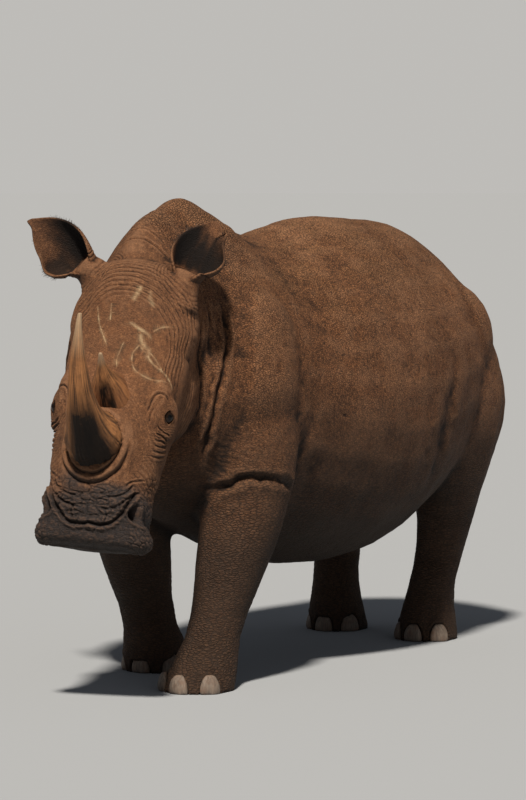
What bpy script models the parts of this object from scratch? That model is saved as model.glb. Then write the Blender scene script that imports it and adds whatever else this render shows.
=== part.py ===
"""A white rhinoceros, life size, standing with its head low and turned a little to its left.

Its flesh is a set of lofts and muscle masses, blended into one surface and then parted with thin
cuts into head, neck, trunk and legs. Ears, tail, eyes, horns and nails are pieces of their own.
Everything is in metres. The animal faces -Y, its left side is +X and it stands on z = 0.
"""

import math
from collections import namedtuple

import bmesh
import bpy
from mathutils import Matrix, Vector

# Driving dimensions
HEAD_PITCH = 63.0
HEAD_YAW = 15.0
HEAD_ROLL = 4.0
POLL = Vector((0.152, -1.20, 1.588))
EYE_RADIUS = 0.023
EYE_PLACE = Vector((0.203, 0.540, -0.125))
FRONT_HORN_PLACE = Vector((-0.010, 0.690, -0.030))
FRONT_HORN_LENGTH = 0.58
FRONT_HORN_RADIUS = 0.106
FRONT_HORN_BEND = 74.0
REAR_HORN_PLACE = Vector((0.0, 0.492, -0.030))
REAR_HORN_LENGTH = 0.19
REAR_HORN_RADIUS = 0.085
REAR_HORN_BEND = 36.0
LEFT_EAR_PLACE = Vector((0.165, 0.040, -0.115))
RIGHT_EAR_PLACE = Vector((-0.165, 0.015, -0.115))
LEFT_EAR_LENGTH = 0.28
RIGHT_EAR_LENGTH = 0.31
EAR_WALL = 0.011
EAR_SOCKET_DEPTH = 0.002
EAR_COLUMNS = 12
TAIL_ROOT = Vector((0.0, 1.20, 1.40))
TAIL_LENGTH = 0.66
TAIL_BEND = 36.0
FORELEG_Y = -0.59
HINDLEG_Y = 0.94
LEFT_FORE_STRIDE = -0.26
RIGHT_FORE_STRIDE = 0.17
LEFT_HIND_STRIDE = -0.01
RIGHT_HIND_STRIDE = 0.11
SWING_POWER = 2.6
NAIL_WIDTH = 0.082
NAIL_HEIGHT = 0.070
NAIL_SPREAD = 50.0
NAIL_SINK = 0.006
GAP = 0.0004
SIDES = 32
STEPS = 5
BLEND_VOXEL = 0.014
BLEND_PASSES = 9
FLESH_TRIANGLES = 4000
SHARP_ANGLE = 50.0

# One section of a loft: its middle, its lean back from upright, its half width, its reach up and
# down from the middle, how much it narrows at the top and the bottom, and how square it is.
Section = namedtuple("Section", "x y z lean half up down crest keel square")

TRUNK = [
    Section(0, -0.97, 1.16, 0, 0.20, 0.20, 0.26, 0.2, 0.2, 2.0),
    Section(0, -0.91, 1.17, 0, 0.31, 0.36, 0.46, 0.4, 0.2, 2.0),
    Section(0, -0.80, 1.19, 0, 0.38, 0.54, 0.56, 0.65, 0.2, 2.1),
    Section(0, -0.66, 1.20, 0, 0.42, 0.61, 0.62, 0.7, 0.2, 2.1),
    Section(0, -0.50, 1.18, 0, 0.45, 0.59, 0.66, 0.6, 0.1, 2.1),
    Section(0, -0.32, 1.15, 0, 0.48, 0.54, 0.69, 0.5, 0.1, 2.1),
    Section(0, -0.12, 1.12, 0, 0.53, 0.545, 0.71, 0.4, 0.05, 2.2),
    Section(0, 0.10, 1.09, 0, 0.57, 0.605, 0.72, 0.4, 0.0, 2.2),
    Section(0, 0.34, 1.08, 0, 0.585, 0.645, 0.71, 0.35, 0.0, 2.2),
    Section(0, 0.58, 1.10, 0, 0.57, 0.62, 0.69, 0.35, 0.0, 2.2),
    Section(0, 0.82, 1.13, 0, 0.53, 0.58, 0.61, 0.4, 0.0, 2.3),
    Section(0, 1.02, 1.15, 0, 0.47, 0.505, 0.52, 0.4, 0.0, 2.3),
    Section(0, 1.18, 1.15, 0, 0.38, 0.37, 0.40, 0.3, 0.0, 2.2),
    Section(0, 1.27, 1.13, 0, 0.26, 0.22, 0.24, 0.2, 0.0, 2.0),
]
NECK = [
    Section(0.0, -0.56, 1.28, 0, 0.34, 0.47, 0.42, 0.65, 0.1, 2.1),
    Section(0.0, -0.68, 1.30, 4, 0.33, 0.48, 0.42, 0.65, 0.1, 2.1),
    Section(0.02, -0.80, 1.32, 10, 0.30, 0.44, 0.40, 0.6, 0.15, 2.1),
    Section(0.05, -0.90, 1.34, 22, 0.26, 0.35, 0.37, 0.5, 0.2, 2.1),
    Section(0.08, -0.99, 1.35, 36, 0.225, 0.26, 0.33, 0.3, 0.25, 2.1),
    Section(0.10, -1.06, 1.34, 48, 0.19, 0.17, 0.27, 0.1, 0.3, 2.1),
]

# In the tables of the head, y runs down the face from the poll and z stands out of the forehead.
HEAD = [
    Section(0, -0.05, -0.22, 0, 0.13, 0.14, 0.18, 0.1, 0.2, 2.1),
    Section(0, 0.00, -0.21, 0, 0.185, 0.198, 0.24, 0.1, 0.25, 2.3),
    Section(0, 0.12, -0.21, 0, 0.214, 0.203, 0.27, 0.08, 0.3, 2.5),
    Section(0, 0.26, -0.21, 0, 0.223, 0.180, 0.29, 0.1, 0.25, 2.6),
    Section(0, 0.39, -0.20, 0, 0.222, 0.165, 0.30, 0.15, 0.2, 2.6),
    Section(0, 0.51, -0.19, 0, 0.212, 0.165, 0.30, 0.2, 0.2, 2.5),
    Section(0, 0.62, -0.185, 0, 0.196, 0.170, 0.275, 0.2, 0.2, 2.4),
    Section(0, 0.72, -0.185, 0, 0.182, 0.175, 0.240, 0.15, 0.2, 2.4),
    Section(0, 0.80, -0.19, 0, 0.180, 0.160, 0.200, 0.1, 0.2, 2.5),
    Section(0, 0.88, -0.20, 0, 0.194, 0.138, 0.160, 0.05, 0.2, 2.8),
    Section(0, 0.96, -0.21, 0, 0.210, 0.105, 0.128, 0.0, 0.2, 3.2),
    Section(0, 1.03, -0.215, 0, 0.198, 0.065, 0.085, 0.0, 0.2, 3.0),
]

# The sections of a leg lie level: up is their reach forwards and down their reach backwards.
FORELEG = [
    Section(0.22, 0.00, 1.22, 90, 0.14, 0.17, 0.18, 0, 0, 2.0),
    Section(0.26, 0.00, 1.06, 90, 0.175, 0.21, 0.22, 0, 0, 2.0),
    Section(0.28, 0.00, 0.91, 90, 0.178, 0.205, 0.22, 0, 0, 2.0),
    Section(0.28, 0.00, 0.77, 90, 0.168, 0.185, 0.205, 0, 0, 2.0),
    Section(0.272, 0.00, 0.64, 90, 0.156, 0.165, 0.182, 0, 0, 2.0),
    Section(0.262, 0.00, 0.53, 90, 0.145, 0.152, 0.162, 0, 0, 2.1),
    Section(0.250, 0.00, 0.43, 90, 0.130, 0.138, 0.140, 0, 0, 2.1),
    Section(0.240, 0.00, 0.34, 90, 0.115, 0.122, 0.120, 0, 0, 2.1),
    Section(0.230, 0.00, 0.26, 90, 0.104, 0.109, 0.106, 0, 0, 2.1),
    Section(0.222, 0.00, 0.18, 90, 0.103, 0.108, 0.104, 0, 0, 2.1),
    Section(0.216, 0.00, 0.10, 90, 0.120, 0.127, 0.118, 0, 0, 2.1),
    Section(0.214, 0.00, 0.04, 90, 0.132, 0.143, 0.128, 0, 0, 2.1),
    Section(0.214, 0.00, 0.00, 90, 0.135, 0.146, 0.130, 0, 0, 2.1),
    Section(0.214, 0.00, -0.05, 90, 0.135, 0.146, 0.130, 0, 0, 2.1),
]
HINDLEG = [
    Section(0.22, 0.00, 1.36, 90, 0.16, 0.24, 0.20, 0, 0, 2.0),
    Section(0.27, 0.00, 1.20, 90, 0.20, 0.33, 0.29, 0, 0, 2.2),
    Section(0.29, 0.00, 1.04, 90, 0.215, 0.34, 0.35, 0, 0, 2.3),
    Section(0.29, 0.01, 0.88, 90, 0.208, 0.31, 0.35, 0, 0, 2.3),
    Section(0.285, 0.05, 0.73, 90, 0.170, 0.25, 0.255, 0, 0, 2.2),
    Section(0.275, 0.09, 0.60, 90, 0.132, 0.178, 0.170, 0, 0, 2.1),
    Section(0.265, 0.10, 0.50, 90, 0.112, 0.140, 0.130, 0, 0, 2.1),
    Section(0.258, 0.085, 0.41, 90, 0.101, 0.113, 0.110, 0, 0, 2.1),
    Section(0.252, 0.06, 0.32, 90, 0.095, 0.101, 0.099, 0, 0, 2.1),
    Section(0.246, 0.03, 0.24, 90, 0.093, 0.099, 0.097, 0, 0, 2.1),
    Section(0.242, 0.01, 0.16, 90, 0.100, 0.108, 0.102, 0, 0, 2.1),
    Section(0.240, 0.00, 0.09, 90, 0.113, 0.124, 0.114, 0, 0, 2.1),
    Section(0.240, 0.00, 0.03, 90, 0.120, 0.134, 0.120, 0, 0, 2.1),
    Section(0.240, 0.00, 0.00, 90, 0.122, 0.136, 0.122, 0, 0, 2.1),
    Section(0.240, 0.00, -0.05, 90, 0.122, 0.136, 0.122, 0, 0, 2.1),
]

# Muscle and bone that swell the lofts: middle and radii. Those of the head are in its own axes.
Mass = namedtuple("Mass", "x y z rx ry rz")

BODY_MASSES = [
    Mass(0.31, -0.60, 1.16, 0.16, 0.22, 0.32),
    Mass(0.10, -0.53, 1.60, 0.09, 0.12, 0.12),
    Mass(0.33, 0.92, 1.22, 0.17, 0.24, 0.24),
]
HEAD_MASSES = [
    Mass(0.145, 0.36, -0.34, 0.085, 0.19, 0.14),
    Mass(0.158, 0.47, -0.105, 0.052, 0.10, 0.05),
    Mass(0.165, 0.540, -0.128, 0.052, 0.062, 0.060),
    Mass(0.145, 0.90, -0.145, 0.050, 0.06, 0.060),
    Mass(0.165, 0.97, -0.23, 0.050, 0.055, 0.06),
    Mass(0.165, 0.03, -0.13, 0.060, 0.065, 0.075),
]
HORN_BOSS = Mass(0, 0.68, -0.075, 0.145, 0.15, 0.085)
CHIN = Mass(0, 0.94, -0.31, 0.12, 0.08, 0.06)

# How an ear's cross-section runs from root to tip: share of the length, radius and half angle.
EAR_SECTIONS = [
    (0.00, 0.040, 166),
    (0.13, 0.046, 152),
    (0.27, 0.069, 120),
    (0.43, 0.088, 92),
    (0.60, 0.096, 70),
    (0.77, 0.095, 49),
    (0.91, 0.090, 25),
    (1.00, 0.088, 4),
]

# Where the thin cuts lie that part the head and the neck: a point of each plane and its normal.
HEAD_CUT = (Vector((0.12, -0.965, 1.55)), Vector((0.18, -0.97, 0.17)))
NECK_CUT = (Vector((0.0, -0.72, 1.58)), Vector((0.0, -0.93, 0.36)))

# A leg is cut off by a block that begins LEG_INNER from the middle and whose top rises outwards.
LEG_INNER = 0.025
LEG_TOP = 0.66
LEG_SLANT = 0.95

# Each leg: its name, side, table, place along the body, stride, and where its block begins and ends.
FEET = [
    ("front_left", 1, FORELEG, FORELEG_Y, LEFT_FORE_STRIDE, -1.2, -0.42),
    ("front_right", -1, FORELEG, FORELEG_Y, RIGHT_FORE_STRIDE, -1.2, -0.24),
    ("hind_left", 1, HINDLEG, HINDLEG_Y, LEFT_HIND_STRIDE, 0.56, 1.6),
    ("hind_right", -1, HINDLEG, HINDLEG_Y, RIGHT_HIND_STRIDE, 0.56, 1.6),
]
TOES = [("middle", 0.0), ("outer", NAIL_SPREAD), ("inner", -NAIL_SPREAD)]
SIDES_OF_BODY = [(1, "left"), (-1, "right")]

PIECES = bpy.data.collections.new("white_rhinoceros")
GUIDES = bpy.data.collections.new("cutters")


def clear_scene():
    for item in list(bpy.data.objects):
        bpy.data.objects.remove(item, do_unlink=True)
    bpy.context.scene.collection.children.link(PIECES)
    bpy.context.scene.collection.children.link(GUIDES)


def material(name, colour, roughness):
    made = bpy.data.materials.new(name)
    made.use_nodes = True
    shader = made.node_tree.nodes["Principled BSDF"]
    shader.inputs["Base Color"].default_value = (*colour, 1)
    shader.inputs["Roughness"].default_value = roughness
    shader.inputs["Metallic"].default_value = 0.0
    made.diffuse_color = (*colour, 1)
    return made


def piece(name, mesh, look, collection=PIECES):
    """An object of its own for a bmesh, in one of the two collections."""
    data = bpy.data.meshes.new(name)
    bmesh.ops.recalc_face_normals(mesh, faces=mesh.faces)
    mesh.to_mesh(data)
    mesh.free()
    made = bpy.data.objects.new(name, data)
    made.data.materials.append(look)
    collection.objects.link(made)
    if collection == GUIDES:
        made.hide_render = True
        made.display_type = "WIRE"
    return made


def smooth_rows(rows, steps):
    """Rows of numbers with steps more rows between each two, on a smooth curve through them all."""
    out = []
    for i in range(len(rows) - 1):
        before = rows[max(i - 1, 0)]
        after = rows[min(i + 2, len(rows) - 1)]
        for k in range(steps):
            t = k / steps
            row = []
            for p0, p1, p2, p3 in zip(before, rows[i], rows[i + 1], after):
                bend = (2 * p0 - 5 * p1 + 4 * p2 - p3) * t * t + (3 * p1 - p0 - 3 * p2 + p3) * t ** 3
                row.append(p1 + 0.5 * ((p2 - p0) * t + bend))
            out.append(row)
    out.append(list(rows[-1]))
    return out


def section_ring(section, sides=SIDES):
    """The points of one section, in the axes of its table."""
    middle = Vector((section.x, section.y, section.z))
    lean = math.radians(section.lean)
    upward = Vector((0, -math.sin(lean), math.cos(lean)))
    ring = []
    for k in range(sides):
        angle = math.tau * k / sides
        c, s = math.cos(angle), math.sin(angle)
        across = math.copysign(abs(c) ** (2 / section.square), c) * section.half
        rise = math.copysign(abs(s) ** (2 / section.square), s)
        narrowing = section.crest if s > 0 else section.keel
        across *= 1 - narrowing * rise * rise
        rise *= section.up if s > 0 else section.down
        ring.append(middle + across * Vector((1, 0, 0)) + rise * upward)
    return ring


def loft(rings):
    """A closed bmesh over rings of as many points each."""
    mesh = bmesh.new()
    loops = [[mesh.verts.new(point) for point in ring] for ring in rings]
    for near, far in zip(loops, loops[1:]):
        for k in range(len(near)):
            j = (k + 1) % len(near)
            mesh.faces.new((near[k], near[j], far[j]))
            mesh.faces.new((near[k], far[j], far[k]))
    mesh.faces.new(loops[0])
    mesh.faces.new(loops[-1])
    return mesh


def head_axes():
    """The axes of the head: to its left, down the face and out of the forehead."""
    pitch = math.radians(HEAD_PITCH)
    turn = Matrix.Rotation(math.radians(HEAD_YAW), 3, "Z") @ Matrix.Rotation(math.radians(HEAD_ROLL), 3, "Y")
    left = turn @ Vector((1, 0, 0))
    down = turn @ Vector((0, -math.cos(pitch), -math.sin(pitch)))
    out = turn @ Vector((0, -math.sin(pitch), math.cos(pitch)))
    return left, down, out


LEFT, DOWN, OUT = head_axes()


def in_head(point):
    """A point given in the axes of the head, in the animal's own."""
    return POLL + point[0] * LEFT + point[1] * DOWN + point[2] * OUT


def table_loft(table, place=lambda point: point):
    """A loft over the smoothed rows of a table."""
    sections = [Section(*row) for row in smooth_rows(table, STEPS)]
    return loft([[place(point) for point in section_ring(section)] for section in sections])


def leg_loft(table, side, axis_y, stride):
    """One leg of a table, on its side of the animal, its foot a stride behind the leg's axis."""
    top = table[0].z

    def place(point):
        share = min(max((top - point.z) / top, 0), 1)
        swing = stride * share ** SWING_POWER
        return Vector((side * point.x, axis_y + point.y + swing, point.z))

    return table_loft(table, place)


def mass_ball(mass, side=1, place=lambda point: point):
    """The ellipsoid of a mass, on one side of the animal."""
    mesh = bmesh.new()
    bmesh.ops.create_uvsphere(mesh, u_segments=24, v_segments=14, radius=1)
    for vert in mesh.verts:
        x = side * (mass.x + vert.co.x * mass.rx)
        vert.co = place(Vector((x, mass.y + vert.co.y * mass.ry, mass.z + vert.co.z * mass.rz)))
    return mesh


def apply_modifiers(item):
    """Bakes an object's modifiers into its mesh."""
    depsgraph = bpy.context.evaluated_depsgraph_get()
    baked = bpy.data.meshes.new_from_object(item.evaluated_get(depsgraph))
    item.modifiers.clear()
    old = item.data
    item.data = baked
    bpy.data.meshes.remove(old)


def remove(item):
    data = item.data
    bpy.data.objects.remove(item, do_unlink=True)
    bpy.data.meshes.remove(data)


def outer_chords(face):
    """Edges that join two corners of a face from outside it, which a diagonal there would double."""
    corners = set(face.verts)
    chords = set()
    for vert in face.verts:
        for edge in vert.link_edges:
            if edge.other_vert(vert) in corners and face not in edge.link_faces:
                chords.add(edge)
    return list(chords)


def cut_into_triangles(mesh):
    """Triangulates one face after another, so that no two faces come to share a diagonal."""
    wide = [face for face in mesh.faces if len(face.verts) > 3]
    while wide:
        for face in wide:
            chords = outer_chords(face)
            if chords:
                bmesh.ops.subdivide_edges(mesh, edges=chords, cuts=1)
            bmesh.ops.triangulate(mesh, faces=[face])
        wide = [face for face in mesh.faces if len(face.verts) > 3]


def boolean(item, cutter, operation):
    cut = item.modifiers.new(operation.lower(), "BOOLEAN")
    cut.operation = operation
    cut.solver = "EXACT"
    cut.object = cutter
    apply_modifiers(item)
    mesh = bmesh.new()
    mesh.from_mesh(item.data)
    cut_into_triangles(mesh)
    mesh.to_mesh(item.data)
    mesh.free()


def blended_flesh(meshes, look):
    """One closed surface over all the given meshes, with their junctions rounded."""
    data = bpy.data.meshes.new("flesh")
    whole = bmesh.new()
    for mesh in meshes:
        bmesh.ops.recalc_face_normals(mesh, faces=mesh.faces)
        part = bpy.data.meshes.new("part")
        mesh.to_mesh(part)
        mesh.free()
        whole.from_mesh(part)
        bpy.data.meshes.remove(part)
    whole.to_mesh(data)
    whole.free()
    flesh = bpy.data.objects.new("flesh", data)
    flesh.data.materials.append(look)
    GUIDES.objects.link(flesh)
    remesh = flesh.modifiers.new("blend", "REMESH")
    remesh.mode = "VOXEL"
    remesh.voxel_size = BLEND_VOXEL
    soften = flesh.modifiers.new("soften", "SMOOTH")
    soften.factor = 0.5
    soften.iterations = BLEND_PASSES
    apply_modifiers(flesh)
    thin = flesh.modifiers.new("thin", "DECIMATE")
    triangles = sum(len(face.vertices) - 2 for face in flesh.data.polygons)
    thin.ratio = FLESH_TRIANGLES / triangles
    apply_modifiers(flesh)
    return flesh


def flatten_soles(flesh):
    """Cuts everything off below the floor, which leaves four flat soles."""
    mesh = bmesh.new()
    mesh.from_mesh(flesh.data)
    everything = mesh.verts[:] + mesh.edges[:] + mesh.faces[:]
    cut = bmesh.ops.bisect_plane(
        mesh, geom=everything, plane_co=(0, 0, 0), plane_no=(0, 0, -1), clear_outer=True
    )
    rim = [edge for edge in cut["geom_cut"] if isinstance(edge, bmesh.types.BMEdge)]
    bmesh.ops.triangle_fill(mesh, use_beauty=True, edges=rim, normal=(0, 0, -1))
    bmesh.ops.recalc_face_normals(mesh, faces=mesh.faces)
    mesh.to_mesh(flesh.data)
    mesh.free()


def bent_spine(start, direction, towards, length, bend, points):
    """Points along an arc that starts in one direction and turns by an angle towards another."""
    direction = direction.normalized()
    towards = (towards - towards.dot(direction) * direction).normalized()
    spine = [start.copy()]
    headings = [direction]
    step = length / (points - 1)
    for k in range(points - 1):
        angle = math.radians(bend) * (k + 0.5) / (points - 1)
        heading = math.cos(angle) * direction + math.sin(angle) * towards
        spine.append(spine[-1] + step * heading)
        headings.append(heading)
    return spine, headings


def tube(spine, headings, radii, side, sides, flat=1.0):
    """A closed tube along a spine; side is the way its breadth lies and flat its depth to breadth."""
    rings = []
    for point, heading, radius in zip(spine, headings, radii):
        across = (side - side.dot(heading) * heading).normalized()
        other = heading.cross(across)
        ring = []
        for k in range(sides):
            angle = math.tau * k / sides
            ring.append(point + radius * (math.cos(angle) * across + flat * math.sin(angle) * other))
        rings.append(ring)
    return loft(rings)


def front_horn(grow=0.0):
    """The tall horn: a broad foot, a body that tapers and a slender stem curving back."""
    points = 11
    start = in_head(FRONT_HORN_PLACE)
    spine, headings = bent_spine(
        start, OUT + 0.08 * DOWN, -DOWN, FRONT_HORN_LENGTH, FRONT_HORN_BEND, points
    )
    radii = []
    for k in range(points):
        t = k / (points - 1)
        radii.append(FRONT_HORN_RADIUS * (0.06 * math.exp(-t / 0.06) + 0.95 * (1 - t) ** 0.9) + grow)
    radii[-1] = 0.008 + grow
    spine[0] = spine[0] - grow * headings[0]
    return tube(spine, headings, radii, LEFT, 14)


def rear_horn(grow=0.0):
    """The low horn behind it, a blunt pyramid."""
    points = 6
    start = in_head(REAR_HORN_PLACE)
    spine, headings = bent_spine(
        start, OUT - 0.05 * DOWN, -DOWN, REAR_HORN_LENGTH, REAR_HORN_BEND, points
    )
    radii = []
    for k in range(points):
        t = k / (points - 1)
        radii.append(REAR_HORN_RADIUS * (0.12 * math.exp(-t / 0.10) + 0.88 * (1 - t) ** 1.1) + grow)
    radii[-1] = 0.007 + grow
    spine[0] = spine[0] - grow * headings[0]
    return tube(spine, headings, radii, LEFT, 12)


def eyeball(side, grow=0.0):
    """The ball of an eye, most of which lies inside the head."""
    mesh = bmesh.new()
    bmesh.ops.create_uvsphere(mesh, u_segments=12, v_segments=8, radius=EYE_RADIUS + grow)
    place = in_head((side * EYE_PLACE.x, EYE_PLACE.y, EYE_PLACE.z))
    bmesh.ops.translate(mesh, verts=mesh.verts, vec=place)
    return mesh


def ear_frame(side):
    """Where an ear's spine runs, and which way it opens. The left ear stands up, the right one splays."""
    root = in_head(LEFT_EAR_PLACE if side > 0 else RIGHT_EAR_PLACE)
    if side > 0:
        rise, opening = Vector((0.30, 0.28, 0.90)), Vector((0.20, -0.97, 0.0))
    else:
        rise, opening = Vector((-0.68, -0.33, 0.64)), Vector((0.45, -0.85, 0.0))
    rise.normalize()
    opening = (opening - opening.dot(rise) * rise).normalized()
    return root, rise, opening


def ear(side):
    """A leaf-shaped cup: a sheet rolled into a tube at its root, opening upwards, then thickened."""
    root, rise, opening = ear_frame(side)
    across = rise.cross(opening)
    mesh = bmesh.new()
    rows = []
    length = LEFT_EAR_LENGTH if side > 0 else RIGHT_EAR_LENGTH
    for share, radius, half_angle in EAR_SECTIONS:
        foot = root + share * length * rise - (0.045 + 0.02 * share * share) * opening
        row = []
        for k in range(EAR_COLUMNS + 1):
            turn = math.radians(half_angle) * (2 * k / EAR_COLUMNS - 1)
            reach = radius * (1 - math.cos(turn)) * opening + radius * math.sin(turn) * across
            row.append(mesh.verts.new(foot + reach))
        rows.append(row)
    for low, high in zip(rows, rows[1:]):
        for k in range(EAR_COLUMNS):
            mesh.faces.new((low[k], low[k + 1], high[k + 1], high[k]))
    return mesh


def ear_socket(side):
    """What the head leaves free for the root of an ear."""
    root, rise, opening = ear_frame(side)
    across = rise.cross(opening)
    radius = EAR_SECTIONS[1][1] + EAR_WALL / 2 + 4 * GAP
    spine = [root - EAR_SOCKET_DEPTH * rise, root + 0.035 * rise, root + 0.14 * rise]
    return tube(spine, [rise] * 3, [radius, radius * 1.35, radius * 2.2], across, 12)


def nail(foot, toe_angle, reach, grow=0.0):
    """A toenail on the rim of a foot, flat below and rounded above."""
    below = -0.01 if grow else 0.0
    rows = [
        Section(0, 0, below, 90, 1.00, 0.016, 0.016, 0, 0, 2.4),
        Section(0, 0, 0.020, 90, 1.02, 0.019, 0.016, 0, 0, 2.4),
        Section(0, 0, 0.045, 90, 0.90, 0.012, 0.018, 0, 0, 2.3),
        Section(0, 0, NAIL_HEIGHT + grow, 90, 0.45, 0.0, 0.018, 0, 0, 2.0),
    ]
    turn = Matrix.Rotation(math.radians(toe_angle), 3, "Z")
    rim = turn @ Vector((0, -reach, 0))
    rings = []
    for row in rows:
        row = row._replace(half=row.half * NAIL_WIDTH / 2 + grow, up=row.up + grow, down=row.down + grow)
        rings.append([foot + rim + turn @ point for point in section_ring(row, 10)])
    return loft(rings)


def tail(grow=0.0):
    """The tail hangs down close behind the rump and thickens again where its tuft grows."""
    points = 9
    start, down = Vector((0, 0.62, -0.78)), Vector((0, 0, -1))
    spine, headings = bent_spine(TAIL_ROOT, start, down, TAIL_LENGTH, TAIL_BEND, points)
    radii = []
    for k in range(points):
        t = k / (points - 1)
        tuft = 0.012 * math.exp(-(((t - 0.90) / 0.09) ** 2))
        radii.append(0.016 + 0.034 * (1 - t) ** 1.6 + tuft + grow)
    spine[0] = spine[0] - grow * headings[0]
    return tube(spine, headings, radii, Vector((1, 0, 0)), 10, 0.8)


def half_space(point, normal, grow=0.0):
    """A big block on the far side of a plane."""
    mesh = bmesh.new()
    bmesh.ops.create_cube(mesh, size=4)
    turn = normal.to_track_quat("Z", "Y").to_matrix()
    for vert in mesh.verts:
        vert.co = point + turn @ (vert.co + Vector((0, 0, 2 - grow)))
    return mesh


def leg_block(side, front, back, grow=0.0):
    """A block round one leg, whose top slants from the armpit or groin up and outwards."""
    mesh = bmesh.new()
    bmesh.ops.create_cube(mesh, size=1)
    inner, outer = LEG_INNER - grow, 1.0
    for vert in mesh.verts:
        x = outer if vert.co.x > 0 else inner
        y = back + grow if vert.co.y > 0 else front - grow
        z = LEG_TOP + LEG_SLANT * x + grow if vert.co.z > 0 else -0.2
        vert.co = Vector((side * x, y, z))
    return mesh


def copy_of(item, name):
    made = item.copy()
    made.data = item.data.copy()
    made.name = name
    GUIDES.objects.link(made)
    return made


def cut_off(item, name, block, grown_block):
    """Parts a piece from what is left of the flesh, with a thin gap between them."""
    part = copy_of(item, name)
    inside = piece("inside", block, HIDE, GUIDES)
    boolean(part, inside, "INTERSECT")
    remove(inside)
    outside = piece("outside", grown_block, HIDE, GUIDES)
    boolean(item, outside, "DIFFERENCE")
    remove(outside)
    return part


def carve(item, meshes):
    """Cuts several shapes that don't touch each other out of an object."""
    joined = bmesh.new()
    for mesh in meshes:
        bmesh.ops.recalc_face_normals(mesh, faces=mesh.faces)
        part = bpy.data.meshes.new("part")
        mesh.to_mesh(part)
        mesh.free()
        joined.from_mesh(part)
        bpy.data.meshes.remove(part)
    cutter = piece("cutter", joined, HIDE, GUIDES)
    boolean(item, cutter, "DIFFERENCE")
    remove(cutter)


def keep(item, name):
    """Moves a finished object among the pieces of the animal."""
    for holder in list(item.users_collection):
        holder.objects.unlink(item)
    PIECES.objects.link(item)
    item.name = name
    item.data.name = name
    item.hide_render = False
    item.display_type = "TEXTURED"
    item.data.shade_smooth()
    item.data.set_sharp_from_angle(angle=math.radians(SHARP_ANGLE))


clear_scene()
HIDE = material("hide", (0.19, 0.115, 0.08), 0.85)
HORN = material("horn", (0.17, 0.115, 0.075), 0.6)
EYE = material("eye", (0.02, 0.012, 0.008), 0.1)
NAIL = material("nail", (0.11, 0.09, 0.075), 0.6)

meshes = [table_loft(TRUNK), table_loft(NECK), table_loft(HEAD, in_head)]
meshes.append(leg_loft(FORELEG, 1, FORELEG_Y, LEFT_FORE_STRIDE))
meshes.append(leg_loft(FORELEG, -1, FORELEG_Y, RIGHT_FORE_STRIDE))
meshes.append(leg_loft(HINDLEG, 1, HINDLEG_Y, LEFT_HIND_STRIDE))
meshes.append(leg_loft(HINDLEG, -1, HINDLEG_Y, RIGHT_HIND_STRIDE))
for side in (1, -1):
    for mass in BODY_MASSES:
        meshes.append(mass_ball(mass, side))
    for mass in HEAD_MASSES:
        meshes.append(mass_ball(mass, side, in_head))
meshes.append(mass_ball(HORN_BOSS, 1, in_head))
meshes.append(mass_ball(CHIN, 1, in_head))
flesh = blended_flesh(meshes, HIDE)
flatten_soles(flesh)

head = cut_off(flesh, "head", half_space(*HEAD_CUT), half_space(*HEAD_CUT, GAP))
neck = cut_off(flesh, "neck", half_space(*NECK_CUT), half_space(*NECK_CUT, GAP))
for name, side, table, axis_y, stride, front, back in FEET:
    leg = cut_off(flesh, "leg", leg_block(side, front, back), leg_block(side, front, back, GAP))
    last = table[-2]
    foot = Vector((side * last.x, axis_y + last.y + stride, 0))
    nails = []
    for toe, angle in TOES:
        turn = side * angle
        share = math.sin(math.radians(angle)) ** 2
        reach = last.up * (1 - share) + last.half * share
        nails.append(nail(foot, turn, reach - NAIL_SINK, GAP))
        keep(piece("nail", nail(foot, turn, reach - NAIL_SINK), NAIL), "nail_" + name + "_" + toe)
    carve(leg, nails)
    keep(leg, "leg_" + name)
hollows = [front_horn(GAP), rear_horn(GAP)]
keep(piece("horn_front", front_horn(), HORN), "horn_front")
keep(piece("horn_rear", rear_horn(), HORN), "horn_rear")
for side, name in SIDES_OF_BODY:
    hollows.append(eyeball(side, GAP))
    hollows.append(ear_socket(side))
    keep(piece("eye", eyeball(side), EYE), "eye_" + name)
    leaf = piece("ear", ear(side), HIDE)
    wall = leaf.modifiers.new("wall", "SOLIDIFY")
    wall.thickness = EAR_WALL
    wall.offset = 0
    apply_modifiers(leaf)
    keep(leaf, "ear_" + name)
carve(head, hollows)
carve(flesh, [tail(GAP)])
keep(piece("tail", tail(), HIDE), "tail")
keep(head, "head")
keep(neck, "neck")
keep(flesh, "trunk")

# The whole animal hangs from one empty, which brings the middle of its box to the origin.
corners = [item.matrix_world @ Vector(corner) for item in PIECES.objects for corner in item.bound_box]
low_x, high_x = min(corner.x for corner in corners), max(corner.x for corner in corners)
low_y, high_y = min(corner.y for corner in corners), max(corner.y for corner in corners)
stance = bpy.data.objects.new("stance", None)
stance.location = (-(low_x + high_x) / 2, -(low_y + high_y) / 2, 0)
bpy.context.scene.collection.objects.link(stance)
for item in PIECES.objects:
    item.parent = stance
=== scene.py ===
# %% [markdown]
# # A white rhinoceros
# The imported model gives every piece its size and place. Its flesh comes in plain faceted blocks,
# so this lesson grows one skin over them, folds it as a rhinoceros's hide is folded, and then
# makes the horns, eyes, nails and the few hairs that such an animal has.

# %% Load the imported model
import math

import bpy
import numpy as np
from mathutils import Matrix, Vector
from mathutils.bvhtree import BVHTree


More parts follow.
